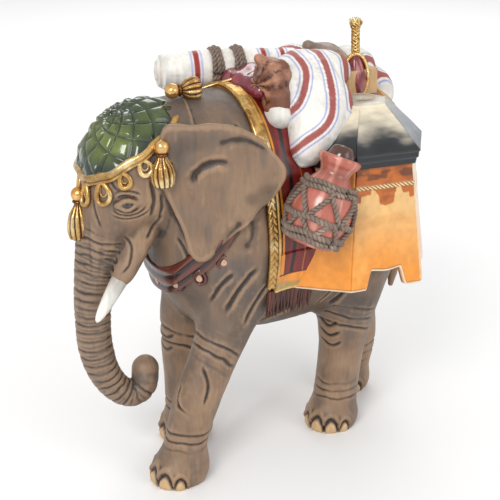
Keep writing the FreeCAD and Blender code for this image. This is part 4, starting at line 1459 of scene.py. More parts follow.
def wall_colors(mm, h, side, foot, lit, plain, seed):
    """Paint of one face: buff falling to orange, a dark band with a gold cord, and a notched lower edge."""
    spot = np.stack([mm, h, np.full_like(mm, seed * 31.0)], -1)
    c = np.broadcast_to(np.array(BUFF), spot.shape)
    # painted light: the face that takes the light is painted peach and kept less orange
    if lit:
        c = tint(c, 0.75, PEACH)
    fall = smoothstep(30, 6, h + 2.0 * noise(spot, 9, 121) + 0.12 * mm)
    c = tint(c, fall * (0.45 if lit else 0.95), ORANGE)
    c = tint(c, 0.35 * smoothstep(0.1, 0.9, fbm(spot * (1, 0.4, 1), 6, 3, 122)), srgb(246, 196, 110))
    c = tint(c, 0.25 * smoothstep(0.1, 0.9, fbm(spot * (0.5, 1, 1), 5, 3, 123)), srgb(196, 124, 50))
    top = PANNIER_TOP - PANNIER_BASE
    if lit:
        for spot_x, low, high in ((-6.3, 29.5, 33.5), (-6.6, 35.5, 38.5), (6.3, 29.5, 33.5),
                                  (6.6, 35.5, 38.5)):
            c = tint(c, band(mm, spot_x - 0.9, spot_x + 0.9, 0.12) * band(h, low, high, 0.12),
                     srgb(206, 118, 44))
            c = tint(c, bump_line(np.maximum(np.abs(mm - spot_x) - 0.9,
                                             np.abs(h - (low + high) / 2) - (high - low) / 2),
                                  0.14) * 0.8, srgb(120, 70, 36))
    elif plain:
        c = tint(c, 0.55, ORANGE)
        c = tint(c, 0.5 * smoothstep(30, 40, h), RUST)
    else:
        wobble = 0.5 * noise(spot, 1.6, 124)
        edge = 33.6 + wobble
        for middle, half, drop in ((0.6, 2.9, -3.6), (-11.0, 1.6, -2.0), (11.0, 1.6, -2.0)):
            edge = edge + drop * band(mm, middle - half, middle + half, 0.3)
        for middle in (-4.2, 5.4):
            edge = edge + 3.2 * band(mm, middle - 1.2, middle + 1.2, 0.4) * (0.6 + 0.4 * noise(spot, 1, 125))
        dark = smoothstep(-0.25, 0.25, h - edge)
        c = tint(c, dark, RUST)
        c = tint(c, dark * 0.6 * smoothstep(0.0, 0.8, fbm(spot * (0.5, 1, 1), 2.5, 3, 126)),
                 srgb(132, 66, 18))
        c = tint(c, band(h, top - 4.6, top, 0.2) * 0.7
                 * smoothstep(-0.1, 0.5, fbm(spot * (0.4, 1, 1), 1.6, 2, 127)),
                 srgb(74, 36, 14))
    hem = h - foot
    c = tint(c, bump_line(hem - 0.95, 0.16) * 0.7, srgb(112, 76, 48))
    c = tint(c, 1 - smoothstep(0.45, 0.65, hem), CREAM)
    if not plain:
        edge = side / 2 - mm
        c = tint(c, 0.8 * (1 - smoothstep(0.3, 0.5, edge)), CREAM)
    return c


def pannier_mesh():
    across, tall = ((104, 150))
    parts = []
    u = np.linspace(-0.5, 0.5, across)[:, None]
    v = np.linspace(0, 1, tall)[None, :]
    for face in range(6):
        start, end = face_ends(face)
        stretch = float(np.linalg.norm(end - start))
        base_mm = u * BASE_SIDE * stretch
        foot = (face != 5) * arch_foot(base_mm) + 0 * v
        h = foot + (PANNIER_TOP - PANNIER_BASE - foot) * v
        side = BASE_SIDE + (TOP_SIDE - BASE_SIDE) * h / (PANNIER_TOP - PANNIER_BASE)
        u_full = np.broadcast_to(u, h.shape)
        mm = u_full * side * stretch
        lit = face == 1
        plain = face in (4, 5)
        spot = np.stack([mm, h, np.full_like(mm, face * 17.0)], -1)
        relief = 0.12 * fbm(spot * (1, 0.5, 1), 7, 3, 131)
        cord = np.sqrt(np.clip(1 - ((h - 36.4) / 0.75) ** 2, 0, 1)) * (0 if lit or plain else 1)
        twist = 0.75 + 0.25 * np.sin((mm * 1.3 + (h - 36.4) * 1.8) * math.pi)
        proud = relief + 0.75 * cord * twist
        rim = np.minimum(h - foot, (0.5 - np.abs(u_full)) * side * stretch)
        proud = proud - 0.4 * (1 - smoothstep(0, 0.55, rim))
        outer = pannier_point(face, u_full, side, PANNIER_BASE + h, -proud)
        inner = pannier_point(face, u_full, side, PANNIER_BASE + h, np.full_like(h, WALL))
        c = wall_colors(mm, h, side * stretch, foot, lit, plain, face)
        c = tint(c, smoothstep(0.2, 0.7, cord), GOLD_PALE)
        # painted shade in the low turns of the twisted cord
        c = tint(c, smoothstep(0.2, 0.7, cord) * (1 - smoothstep(0.62, 0.85, twist)), GOLD_DEEP)
        back = np.broadcast_to(np.array(srgb(226, 136, 44)), c.shape)
        points, faces = slab(outer, inner)
        parts.append((points, faces, np.vstack([c.reshape(-1, 3), back.reshape(-1, 3)])))
    return join(parts)


def roof_mesh():
    """Hexagonal lid: stepped fascia, slopes brushed from cream at the peak to blue-black at the eaves."""
    across, tall = ((90, 130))
    parts = []
    heights = [(0.0, EAVE_SIDE - 1.0), (2.0, EAVE_SIDE - 0.6), (2.3, EAVE_SIDE + 0.05),
               (FASCIA - 0.3, EAVE_SIDE + 0.15),
               (FASCIA, EAVE_SIDE + 0.6), (FASCIA + 0.7, EAVE_SIDE + 0.55),
               (ROOF_TOP - PANNIER_TOP, ROOF_TOP_SIDE)]
    rows = np.array(heights)
    v = np.unique(np.concatenate([rows[:, 0], np.linspace(0, FASCIA, 14),
                                  np.linspace(FASCIA, ROOF_TOP - PANNIER_TOP, tall)]))
    h, side = v[None, :], np.interp(v, rows[:, 0], rows[:, 1])[None, :]
    u = np.linspace(-0.5, 0.5, across)[:, None]
    for face in range(6):
        u_full, hh = np.broadcast_arrays(u, h)
        ss = np.broadcast_to(side, hh.shape)
        mm = u_full * ss
        spot = np.stack([mm, hh, np.full_like(mm, face * 13.0)], -1)
        brush = fbm(spot * (0.35, 1, 1), 2.4, 3, 141)
        relief = 0.14 * fbm(spot * (0.5, 1, 1), 5, 3, 142) + 0.05 * brush
        rim = (0.5 - np.abs(u_full)) * ss
        relief = relief - 0.3 * (1 - smoothstep(0, 0.5, rim))
        outer = pannier_point(face, u_full, ss, PANNIER_TOP + hh, -relief)
        inner = pannier_point(face, u_full, ss * 0.6, PANNIER_TOP + hh * 0.5, np.zeros_like(hh))
        rise = hh + 3.0 * noise(spot, 9, 143) + 1.2 * brush
        if face == 1:
            c = np.broadcast_to(np.array(srgb(146, 150, 154)), spot.shape)
            c = tint(c, 0.75 * smoothstep(11, 4, rise), srgb(64, 68, 74))
            c = tint(c, 0.45 * smoothstep(12, 18, rise), srgb(196, 194, 186))
        else:
            c = np.broadcast_to(np.array(srgb(150, 142, 130)), spot.shape)
            c = tint(c, smoothstep(10.5, 16, rise), srgb(226, 214, 188))
            c = tint(c, smoothstep(12.5, 8, rise), srgb(34, 38, 42))
            c = tint(c, 0.8 * smoothstep(9, 5, rise), srgb(18, 22, 26))
        c = tint(c, 0.5 * bump_line(hh - 2.2, 0.3) + 0.35 * bump_line(hh - FASCIA, 0.25), srgb(84, 90, 94))
        points, faces = slab(outer, inner)
        parts.append((points, faces, np.vstack([c.reshape(-1, 3), c.reshape(-1, 3)])))
    rings = [(0.1, -0.6), (0.5, 0.25), (0.85, 0.1), (0.99, -0.35)]
    turn = np.linspace(0, 6, 6 * 12, endpoint=False)
    ring = [pannier_point(int(t) % 6, np.array([t - int(t) - 0.5]), np.array([ROOF_TOP_SIDE]), ROOF_TOP,
                          np.zeros(1))[0]
            for t in turn]
    middle = np.array([*PANNIER_CENTRE, ROOF_TOP])
    lid = np.array([middle + (np.array(ring) - middle) * share + (0, 0, lift)
                    for share, lift in rings]).reshape(-1, 3)
    faces = [tuple(f) for f in grid_faces(len(rings), len(ring), True)] + [tuple(range(len(ring)))]
    parts.append((lid, outward(lid, faces), np.array(srgb(190, 184, 168))))
    return join(parts)


def keep_outside(points, faces, colors, limit=12.0):
    """Only the part that stands clear of the elephant's middle."""
    inside = points[:, 0] < limit
    kept = [f for f in faces if not any(inside[k] for k in f)]
    used = np.unique(np.concatenate([np.array(f) for f in kept]))
    lookup = np.zeros(len(points), int)
    lookup[used] = np.arange(len(used))
    return points[used], [tuple(int(k) for k in lookup[list(f)]) for f in kept], colors[used]


def build_panniers():
    wood = painted("pannier_paint", rough=0.33, streak=0.25, streak_size=500, stretch=(0.6, 0.6, 0.6),
                   blotch=0.15,
                   blotch_size=160, relief=0.25, relief_size=700, Coat_Weight=0.2, Coat_Roughness=0.25)
    slate = painted("roof_paint", rough=0.38, streak=0.3, streak_size=500, stretch=(0.3, 0.3, 1), blotch=0.2,
                    relief=0.3, relief_size=800, Coat_Weight=0.15)
    mirror = np.array([-1.0, 1.0, 1.0])
    for kind, made, paint, slot, node_name in (("walls", pannier_mesh(), wood, "pannier_orange", "pannier_"),
                                               ("slopes", roof_mesh(), slate, "roof_slate", "pannier_roof_")):
        points, faces, colors = keep_outside(*made)
        add_piece(node_name + "left_" + kind, points, faces, colors, paint, (node_name + "left",),
                  smooth=True)
        add_piece(node_name + "right_" + kind, points * mirror, [f[::-1] for f in faces], colors, paint,
                  (node_name + "right",), smooth=True)


build_panniers()


# ---------------------------------------- the load: bundles, roll, cushion, rod and tie

CLOTH, CLOTH_GREY = srgb(232, 229, 222), srgb(168, 168, 166)
BRICK, BLUE = srgb(150, 48, 44), srgb(124, 134, 204)
STEP = 0.45      # grid of the bundles' clay, millimetres
TAUPE, CHESTNUT, PLUM = srgb(128, 108, 94), srgb(120, 76, 56), srgb(112, 34, 48)


def lump(low, high, *actions):
    """Bundle modelled in clay. Each action takes the clay. Returns points, quads and normals."""
    clay = Clay(low, high, STEP)
    for action in actions:
        action(clay)
    points, quads = clay.mesh()
    points = relax(points, quads)
    normals = normals_of(points, quads)
    if (normals * clay.slope(points)).sum() < 0:
        quads, normals = quads[:, ::-1], -normals
    return points, quads, normals


def line_distance(points, line, count=60, across=None):
    """Distance from each point to a smooth line, seen along across if given, and its share of the line."""
    path = spline(line, count)
    if across is not None:
        path = path - np.outer(path @ across, across)
        points = points - np.outer(points @ across, across)
    best = np.full(len(points), 1e9)
    where = np.zeros(len(points))
    for k, (a, b) in enumerate(zip(path[:-1], path[1:])):
        ab = b - a
        t = np.clip((points - a) @ ab / max(ab @ ab, 1e-9), 0, 1)
        d = np.linalg.norm(points - a - t[:, None] * ab, axis=1)
        closer = d < best
        best[closer] = d[closer]
        where[closer] = (k + t[closer]) / (count - 1)
    return best, where


def cloth_colors(points, normals, stripes, facing, seed):
    """White cloth with grey clouds, painted shade greying its undersides, and red stripes between thin blue
    lines, laid on from the facing side.
    """
    facing = unit(np.array(facing, float))
    c = np.broadcast_to(np.array(CLOTH), points.shape)
    c = tint(c, 0.35 * smoothstep(-0.1, 0.9, fbm(points * (1, 1, 0.6), 9, 3, seed)), CLOTH_GREY)
    # painted shade on the cloth's undersides
    c = tint(c, 0.4 * smoothstep(0.2, -0.8, normals[:, 2]), CLOTH_GREY)
    for line, half in stripes:
        d, _ = line_distance(points, np.array(line, float), across=facing)
        d = d + 0.12 * noise(points, 3, seed + 1) + 9 * smoothstep(0.05, -0.1, normals @ facing)
        c = tint(c, 0.92 * (1 - smoothstep(half - 0.12, half + 0.12, d)), BRICK)
        c = tint(c, 0.8 * band(d, half + 0.75, half + 1.25, 0.16), BLUE)
    return c


def drape_folds(points, normals, lines, depth, width):
    """Push long soft folds into a bundle along the given lines."""
    out = points.copy()
    for line in lines:
        d, where = line_distance(points, np.array(line, float))
        fade = smoothstep(0, 0.2, where) * (1 - smoothstep(0.8, 1, where))
        out = out - (depth * bump_line(d, width) * (0.4 + 0.6 * fade))[:, None] * normals
    return out


def hollow_tint(points, quads, colors, dark, amount=0.6, rounds=4, low=0.01, high=0.1):
    """Darken the hollows of a mesh with painted shade."""
    pairs = np.vstack([quads[:, [0, 2]], quads[:, [1, 3]]])
    count = np.bincount(pairs.ravel(), minlength=len(points))[:, None] + 1e-9
    smooth = points.copy()
    for _ in range(rounds):
        total = np.zeros_like(smooth)
        np.add.at(total, pairs[:, 0], smooth[pairs[:, 1]])
        np.add.at(total, pairs[:, 1], smooth[pairs[:, 0]])
        smooth = 0.4 * smooth + 0.6 * total / count
    depth = np.einsum("ij,ij->i", smooth - points, normals_of(points, quads))
    return tint(colors, amount * smoothstep(low, high, depth), dark)


def striped_left(clay):
    """White cloth over the left shoulder of the load, running down to the jug."""
    clay.limb([(8.5, 10, 142, 8.2), (13, 12, 140, 9.4), (19, 10, 134, 9.6), (24, 6.5, 127, 8.0),
               (26.5, 2.5, 120, 5.4),
               (27.5, 0.0, 116.5, 2.6)], 3, flat=(1, 1.25, 1))
    clay.egg((8, 20, 141), (8.5, 12, 8), 4)
    clay.egg((21, 14, 131), (8.5, 8.5, 11), 3)


def striped_right(clay):
    clay.limb([(-10, 28, 141, 6.5), (-15, 25, 138, 8.5), (-20, 20, 132, 9.5), (-25, 15, 125, 7.8),
               (-27, 11, 118, 4.0)],
              4, flat=(1, 1.3, 1))
    clay.egg((-12, 26, 140), (8, 12, 6.5), 4)


def build_bundles(cloth, rag):
    stripes = [(((9, 3, 152), (12, 6, 150), (17, 7, 145), (20, 4.5, 139), (20.5, 1.5, 134), (18, -2, 130)),
                1.1),
               (((11, 14, 151), (14, 15, 149.5), (21, 13.5, 145), (26.5, 11.5, 138), (30, 9, 132),
                 (31, 5, 128),
                 (29, -0.5, 124), (26.5, -4, 120.5), (24, -7, 118)), 1.15),
               (((5, 27, 148), (12, 27, 147), (19, 24, 140), (24, 22, 131)), 1.1)]
    folds = [((13, 10, 151), (23, 10, 142), (28, 5, 131), (26, -2, 123)),
             ((16, 19, 149), (25, 18, 139), (31, 13, 127)),
             ((31, 8, 126), (29, 0, 119), (27, -4, 117)), ((15, 2, 147), (22, 1, 138), (23, -3, 128))]
    p, q, n = lump((-8, -14, 104), (42, 36, 158), striped_left)
    p = drape_folds(p, n, folds, 0.8, 1.6) + (0.3 * fbm(p, 5, 3, 151))[:, None] * n
    n2 = normals_of(p, q)
    c = cloth_colors(p, n2, stripes, (0.78, -0.5, 0.36), 152)
    c = hollow_tint(p, q, c, CLOTH_GREY)
    add_piece("striped_bundle_left_cloth", p, q, c, cloth, ("striped_bundle_left",), n2)
    stripes = [(((-8, 22, 148), (-14, 20, 147), (-22, 16, 140), (-29, 12, 130), (-31, 8, 122)), 1.2),
               (((-8, 33, 146), (-14, 32, 145), (-21, 28, 139), (-26, 24, 131)), 1.2)]
    folds = [((-12, 28, 148), (-20, 24, 142), (-28, 18, 132)),
             ((-10, 16, 146), (-18, 13, 140), (-27, 9, 128))]
    p, q, n = lump((-42, -8, 106), (4, 48, 154), striped_right)
    p = drape_folds(p, n, folds, 0.7, 1.5) + (0.18 * fbm(p, 6, 3, 155))[:, None] * n
    n2 = normals_of(p, q)
    c = hollow_tint(p, q, cloth_colors(p, n2, stripes, (-0.65, -0.1, 0.75), 156), CLOTH_GREY)
    add_piece("striped_bundle_right_cloth", p, q, c, cloth, ("striped_bundle_right",), n2)

    p, q, n = lump((2, -14, 120), (30, 10, 146), lambda k: k.egg((17, -4, 131.0), (5.4, 5, 5.2), 3),
                   lambda k: k.limb([(16, 0, 135, 3), (15, 2, 138, 2.2)], 3))
    p = p + (0.3 * fbm(p, 6, 3, 161))[:, None] * n
    n2 = normals_of(p, q)
    add_piece("white_sack_cloth", p, q,
              hollow_tint(p, q, cloth_colors(p, n2, [], (1, 0, 0), 162), CLOTH_GREY), cloth,
              ("white_sack",), n2)

    p, q, n = lump((-26, 32, 112), (16, 66, 152), lambda k: k.egg((-5, 44, 139), (10, 8, 7), 4),
                   lambda k: k.egg((-6, 53, 128), (12, 8, 9.5), 5))
    gather = 0.55 * np.sin(np.arctan2(p[:, 0] + 5.5, p[:, 2] - 140) * 11) * smoothstep(138, 120, p[:, 2])
    p = p + ((gather + 0.3 * fbm(p, 6, 3, 165))[:, None]) * n
    n2 = normals_of(p, q)
    stripes = [(((-14, 43, 144), (-12, 51, 138), (-13, 61, 128), (-12, 60, 120)), 1.1),
               (((4, 43, 144), (2, 52, 138), (1, 61, 128), (0, 60, 120)), 1.1)]
    add_piece("rear_bundle_cloth", p, q,
              hollow_tint(p, q, cloth_colors(p, n2, stripes, (0, 0.7, 0.7), 166), CLOTH_GREY), cloth,
              ("rear_bundle",), n2)

    p, q, n = lump((-18, 14, 128), (10, 46, 156), lambda k: k.egg((-4, 30, 142), (9, 10, 6.5), 4),
                   lambda k: k.limb([(-3, 25, 146, 3), (-1, 21, 149, 2)], 3))
    wrinkle = 0.75 * (1 - np.abs(fbm(p * (1, 0.5, 1), 6, 2, 171))) + 0.2 * fbm(p, 2.5, 2, 172)
    p = p + (wrinkle - 0.6)[:, None] * n
    n2 = normals_of(p, q)
    c = washed(p, TAUPE, srgb(170, 150, 130), 5, 2, 173, high=0.9)
    add_piece("taupe_bundle_cloth", p, q, hollow_tint(p, q, c, srgb(62, 50, 44), 0.8), rag,
              ("taupe_bundle",), n2)

    p, q, n = lump((-6, -14, 120), (28, 18, 156), lambda k: k.egg((11, -2.0, 142.5), (6.8, 6.2, 7.0), 2.5),
                   lambda k: k.egg((16, -3.5, 135.0), (5.0, 5.0, 7.0), 2),
                   lambda k: k.limb([(10, -5, 141, 3.4), (6.5, -8.5, 138, 2.2), (6, -9.5, 136, 1.4)], 2),
                   lambda k: k.limb([(11, -4, 146, 2.6), (9, -6.5, 149, 1.6)], 1.5))
    knot = np.array([10.5, -8.0, 141.0])
    v = unit(p - knot)
    swirl = np.arctan2(v[:, 0], v[:, 2]) * 9 + 0.35 * np.linalg.norm(p - knot, axis=1)
    gathers = 0.6 * np.sin(swirl) * smoothstep(16, 5, np.linalg.norm(p - knot, axis=1))
    p = p + ((gathers + 0.5 * fbm(p, 3.5, 3, 175))[:, None]) * n
    n2 = normals_of(p, q)
    c = washed(p, CHESTNUT, srgb(172, 122, 94), 5, 2, 176)
    add_piece("brown_bundle_cloth", p, q, hollow_tint(p, q, c, srgb(58, 26, 18), 0.9), rag,
              ("brown_bundle",), n2)


def build_cushion():
    p, q, n = lump((-22, -16, 128), (18, 16, 150), lambda k: k.egg((-2, -1, 139.5), (14.5, 9.5, 5), 3),
                   lambda k: k.limb([(-10, -8, 139, 3), (0, -9.5, 139.5, 3.2), (10, -7, 138, 3)], 3))
    pleat = 0.3 * np.sin(p[:, 0] * 0.9 + 0.5 * p[:, 1]) * smoothstep(136, 142, p[:, 2])
    p = p + (pleat + 0.25 * fbm(p, 6, 2, 181))[:, None] * n
    n2 = normals_of(p, q)
    c = washed(p, PLUM, srgb(136, 56, 66), 7, 2, 182)
    paint = painted("cushion_paint", rough=0.14, streak=0.3, blotch=0.2, relief=0.15, Coat_Weight=0.6,
                    Coat_Roughness=0.08)
    add_piece("saddle_cushion_glossy", p, q, hollow_tint(p, q, c, srgb(70, 16, 30), 0.8), paint,
              ("saddle_cushion",), n2)


ROLL_END, ROLL_TURN, ROLL_RADIUS = np.array([-21.5, -27.5, 141.5]), math.radians(-20), 7.1


def roll_point(around, along, radius):
    """Point on the bedroll: along runs from its front end."""
    x, z = radius * np.cos(around), radius * np.sin(around)
    c, s = math.cos(ROLL_TURN), math.sin(ROLL_TURN)
    return np.stack([c * x - s * along, s * x + c * along, z], -1) + ROLL_END


def build_bedroll(cloth, rope_paint):
    rows, columns = 150, 120
    along = np.concatenate([np.full(14, 0.0), np.linspace(0, 48, rows - 28), np.full(14, 48.0)])
    share = np.concatenate([np.linspace(0.02, 1, 14), np.ones(rows - 28), np.linspace(1, 0.02, 14)])
    a = np.linspace(0, 2 * math.pi, columns, endpoint=False)[None, :]
    along, share = along[:, None], share[:, None]
    body = ROLL_RADIUS * (0.88 + 0.12 * np.sin(np.clip(along / 48, 0, 1) * math.pi))
    pinch = sum(0.9 * bump_line(along - spot, 1.6) for spot in (19, 27)) + 0.45 * bump_line(along - 5.0, 0.8)
    ruffle = (0.16 * np.sin(a * 9 + along * 0.3) * bump_line(along - 19, 5)
              + 0.16 * np.sin(a * 11) * bump_line(along - 27, 5))
    radius = (body - pinch + ruffle) * share
    spiral = 0.35 * np.sin(share * 16 - a) * (share < 1)
    bulge = np.where(along < 1, -1, 1) * (2.6 * np.sqrt(np.clip(1 - share ** 2, 0, 1)) + spiral)
    lumps = 0.25 * noise(np.stack(np.broadcast_arrays(a * 3, along * 0.5, share * 5), -1), 2.0, 191)
    points = roll_point(a, along + np.where(share < 1, bulge, 0), radius + lumps * share)
    grid = points.reshape(-1, 3)
    faces = [tuple(f) for f in grid_faces(rows, columns, True)]
    faces += [tuple(range(columns))[::-1], tuple(range((rows - 1) * columns, rows * columns))]
    y = np.broadcast_to(along, (rows, columns)).reshape(-1)
    c = np.broadcast_to(np.array(CLOTH), grid.shape)
    c = tint(c, 0.4 * smoothstep(-0.1, 0.9, fbm(grid, 6, 3, 192)), CLOTH_GREY)
    ends = np.broadcast_to(share, (rows, columns)).reshape(-1)
    c = tint(c, 0.5 * (ends < 0.999) * smoothstep(0.1, 0.7, np.sin(ends * 16 - np.tile(a[0], rows))),
             srgb(196, 178, 160))
    for start, half in ((11.5, 0.9), (36, 0.9), (43, 0.9)):
        c = tint(c, band(y, start - half, start + half, 0.15), BRICK)
        for off in (-1, 1):
            c = tint(c, 0.8 * bump_line(y - start - off * (half + 0.9), 0.3), BLUE)
    for spot in (19, 27):
        c = tint(c, 0.5 * bump_line(y - spot, 3), srgb(150, 130, 112))
    add_piece("bedroll_cloth", grid, outward(grid, faces), c, cloth, ("bedroll",))
    parts = []
    for spot in (19, 27):
        turn = np.linspace(0, 2 * math.pi, 140)
        for shift in (-1.25, 0, 1.25):
            line = roll_point(turn, np.full_like(turn, spot + shift) + 0.2 * np.sin(turn * 3 + shift),
                              np.full_like(turn, ROLL_RADIUS + 0.15 + (0.5 if shift == 0 else 0)))
            p, f, h = rope(line, 0.95, 3.4, strands=2, sides=8)
            parts.append((p, f, rope_colors(p, h)))
    points, faces, colors = join(parts)
    add_piece("bedroll_rope_bands", points, faces, colors, rope_paint, ("bedroll_ropes",))


def rope_colors(points, height):
    c = washed(points, srgb(126, 108, 96), srgb(156, 138, 124), 4, 2, 195, 0.1, 0.9)
    # painted shade on the strands' inner sides, where they twist together
    return tint(c, 0.85 * (1 - smoothstep(0.55, 0.95, height)), srgb(52, 42, 38))


def build_small_things(gold):
    paint = painted("bag_paint", rough=0.12, streak=0.3, blotch=0.2, relief=0.15, Coat_Weight=0.8,
                    Coat_Roughness=0.05)
    bag = np.array([9.5, 34.5, 0.0])
    rows = [(0.3, 129.5), (2.4, 130.6), (3.9, 133.0), (4.3, 136.0), (4.0, 139.5), (3.1, 143.0), (1.9, 145.6),
            (0.8, 147.2)]
    fine = spline(rows, 60)
    p, f = lathe(fine, 60, bag, shape=lambda a, h, r: r * (1 + 0.05 * np.sin(a * 7 + h * 0.4)))
    c = washed(p, srgb(122, 40, 42), srgb(156, 74, 72), 4, 2, 201)
    add_piece("maroon_bag_glossy", p, f, c, paint, ("maroon_bag",))

    parts = []
    turn = np.linspace(0, 2 * math.pi, 120)
    out, side = np.array([0.84, -0.54, 0]), np.array([0.54, 0.84, 0])
    for shift in (-0.45, 0.45):
        loop = (bag + out * (1.0 + shift) + 4.5 * np.sin(turn)[:, None] * side
                + np.stack([0 * turn, 0 * turn, 138 - 8.6 * np.cos(turn)], -1))
        p, f, h = rope(loop, 0.75, 1.9, strands=3, sides=6)
        # painted shade towards the rope's core and a painted highlight on the strands' crowns
        parts.append((p, f, gold_colors(p, 205, 0.1) * (0.4 + 0.8 * h[:, None])))
    rng = np.random.RandomState(3)
    for k in range(9):
        a = 2 * math.pi * k / 9
        z = np.linspace(145.5, 158 + rng.uniform(-0.5, 1.0), 26)
        lean = smoothstep(154, 160, z) * rng.uniform(0.6, 2.0)
        turns = a + (z - 146) * 1.15 * (1 if k % 2 else -1)
        x = bag[0] + 1.25 * np.cos(turns) + lean * math.cos(a)
        y = bag[1] - (z - 145) / 25 + 1.25 * np.sin(turns) + lean * math.sin(a)
        path = np.stack([x, y, z], -1)
        p, f = tube(path, 0.42, 6)
        parts.append((p, f, gold_colors(p, 211 + k, 0.15)))
    for _ in range(26):
        a, spread = rng.uniform(0, 2 * math.pi), rng.uniform(0.8, 4.0)
        z = np.linspace(155, 159.7 - 0.35 * spread, 8)
        lean = ((z - 155) / 5) ** 1.6 * spread
        x = bag[0] + 0.7 * math.cos(a) + lean * math.cos(a)
        y = bag[1] - 0.45 + 0.7 * math.sin(a) + lean * math.sin(a)
        path = np.stack([x, y, z], -1)
        p, f = tube(path, 0.16, 5)
        parts.append((p, f, np.array(GOLD_PALE)))
    points, faces, colors = join(parts)
    thread = gilt("thread_paint", rough=0.22, metallic=0.9)
    add_piece("gold_tie_threads", points, faces, colors, thread, ("gold_tie",))

    rod = spline([(-6, -22, 137.5), (-1, -13, 140.6), (3, -6.5, 142.4), (4.5, 1.5, 146)], 40)
    p, f = tube(rod, np.linspace(0.45, 0.8, 40), 12)
    add_piece("goad_rod_gilt", p, f, gold_colors(p, 221), gold, ("goad_rod",))


cloth_paint = painted("cloth_paint", rough=0.5, streak=0.2, streak_size=700, stretch=(1, 1, 0.4), blotch=0.15,
                      blotch_size=150, relief=0.2, relief_size=900, Specular_IOR_Level=0.35)
rag_paint = painted("rag_paint", rough=0.42, streak=0.35, streak_size=700, blotch=0.3, relief=0.3)
rope_paint = painted("rope_paint", rough=0.7, streak=0.5, streak_size=1500, stretch=(1, 1, 1), blotch=0.3,
                     relief=0.5,
                     relief_size=2200)
build_bundles(cloth_paint, rag_paint)
build_cushion()
build_bedroll(cloth_paint, rope_paint)
build_small_things(gold_paint)


# ---------------------------------------- jug in its net, and the hidden pack block and dowels

JUG_FOOT, JUG_TILT = np.array([38.0, -5.5, 90.5]), math.radians(-24)
CLAY_PINK, CLAY_PALE = srgb(178, 100, 84), srgb(212, 150, 132)
JUG_PROFILE = [(0.3, -0.2), (6.4, 0.0), (8.4, 1.6), (10.2, 6.0), (10.8, 11.5), (10.2, 17.0), (8.4, 21.2),
               (6.3, 24.0),
               (5.5, 25.8), (5.9, 27.6), (7.0, 29.2), (7.5, 30.4), (7.3, 31.4), (6.3, 31.8), (5.2, 31.2),
               (4.7, 29.6),
               (4.4, 27.0), (0.3, 26.4)]


def tilt_jug(points):
    points = np.asarray(points, float)
    c, s = math.cos(JUG_TILT), math.sin(JUG_TILT)
    y, z = points[..., 1], points[..., 2]
    return np.stack([points[..., 0], c * y - s * z, s * y + c * z], -1) + JUG_FOOT


def jug_radius(height):
    outside = JUG_PROFILE[1:12]
    return np.interp(height, [z for _, z in outside], [r for r, _ in outside])


def build_jug():
    fine = spline(JUG_PROFILE, 140)
    p, f = lathe(fine, 110, np.zeros(3))
    a, h = np.arctan2(p[:, 1], p[:, 0]), p[:, 2]
    streaks = fbm(np.stack([np.cos(a) * 10, np.sin(a) * 10, h * 0.12], -1), 2.2, 3, 301)
    c = tint(np.broadcast_to(np.array(CLAY_PINK), p.shape), 0.8 * smoothstep(0.15, 0.8, streaks), CLAY_PALE)
    c = tint(c, 0.5 * smoothstep(-0.1, -0.8, streaks), srgb(150, 84, 62))
    c = tint(c, 0.55 * bump_line(h - 25.6, 1.6), srgb(120, 66, 50))
    add_piece("jug_glazed", tilt_jug(p), f, c,
              painted("jug_paint", rough=0.24, streak=0.2, blotch=0.2, relief=0.2, Coat_Weight=0.4,
                      Coat_Roughness=0.15),
              ("jug",))
    rows = [(0.2, 26.8), (3.4, 27.4), (4.5, 29.4), (4.7, 31.6), (4.2, 33.6), (3.0, 35.2), (0.2, 35.9)]
    p, f = lathe(spline(rows, 50), 60, np.zeros(3))
    c = washed(p, srgb(74, 38, 28), srgb(104, 60, 44), 3, 2, 311, high=0.9)
    add_piece("jug_stopper_glossy", tilt_jug(p), f, c,
              painted("stopper_paint", rough=0.16, streak=0.25, relief=0.2, Coat_Weight=0.6,
                      Coat_Roughness=0.08),
              ("jug_stopper",))


def on_jug(around, height, lift):
    radius = jug_radius(height) + lift
    return tilt_jug(np.stack([radius * np.cos(around), radius * np.sin(around), height], -1))


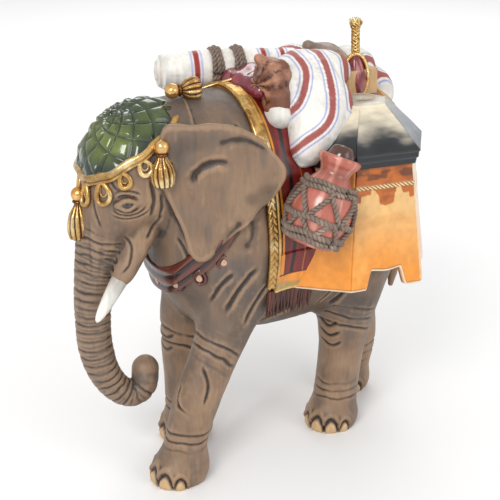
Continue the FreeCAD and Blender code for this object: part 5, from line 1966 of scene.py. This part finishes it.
def build_net(rope_paint):
    parts = []
    turn = np.linspace(0, 2 * math.pi, 220)

    def lay(line, radius=1.0, pitch=3.2):
        p, f, h = rope(line, radius, pitch, strands=2, sides=8)
        parts.append((p, f, rope_colors(p, h)))

    for height, radius in ((21.6, 1.1), (19.9, 1.0), (9.6, 1.2), (4.4, 1.2), (2.2, 1.2)):
        lay(on_jug(turn, height + 0.25 * np.sin(turn * 5), radius * 0.7), radius)
    climb = np.linspace(0, 1, 60)
    for k in range(6):
        start = 2 * math.pi * k / 6
        for lean in (1, -1):
            lay(on_jug(start + lean * climb * 0.62, 9.8 + 10.6 * climb, 0.7), 0.95)
    for k in range(6):
        start = 2 * math.pi * k / 6 + 0.3
        for lean in (1, -1):
            lay(on_jug(start + lean * climb * 0.5, 3.0 + 7.0 * climb, 0.7), 0.95)
    points, faces, colors = join(parts)
    add_piece("jug_rope_net", points, faces, colors, rope_paint, ("jug_net",))


def build_hidden():
    """Pack block and glue dowels, bare wood under everything else."""
    wood = painted("bare_wood_paint", rough=0.6, streak=0.5, blotch=0.3)
    colour = np.array(srgb(196, 160, 116))
    low, high = (-13, -2, 132), (13, 42, 141)
    corner = np.array([[x, y, z] for x in (low[0], high[0]) for y in (low[1], high[1])
                       for z in (low[2], high[2])], float)
    sides = [(0, 1, 3, 2), (4, 6, 7, 5), (0, 4, 5, 1), (2, 3, 7, 6), (0, 2, 6, 4), (1, 5, 7, 3)]
    add_piece("pack_block_wood", corner, outward(corner, sides), colour, wood, ("pack_block",),
              smooth=False)
    pins = [("neck_dowel_wood", "neck_dowel", [((-2, -47, 112), (0, -24, 110), 3.5)]),
            ("leg_dowels_wood", "leg_dowels", [((14.5, -19, 70), (14, -16, 90), 2.5),
                                               ((-14.7, -23, 70), (-14, -20, 90), 2.5),
                                               ((12.5, 34, 70), (13, 36, 90), 2.5),
                                               ((-13.3, 42, 70), (-13.5, 40, 90), 2.5)]),
            ("load_dowels_wood", "load_dowels", [((0, y, 120), (0, y, 138), 2.5) for y in (8, 38)])]
    for name, node_name, spots in pins:
        parts = []
        for start, end, radius in spots:
            p, f = tube(np.linspace(start, end, 8), radius * 0.98, 20)
            parts.append((p, f, colour))
        points, faces, colors = join(parts)
        add_piece(name, points, faces, colors, wood, (node_name,))


build_jug()
build_net(rope_paint)
build_hidden()
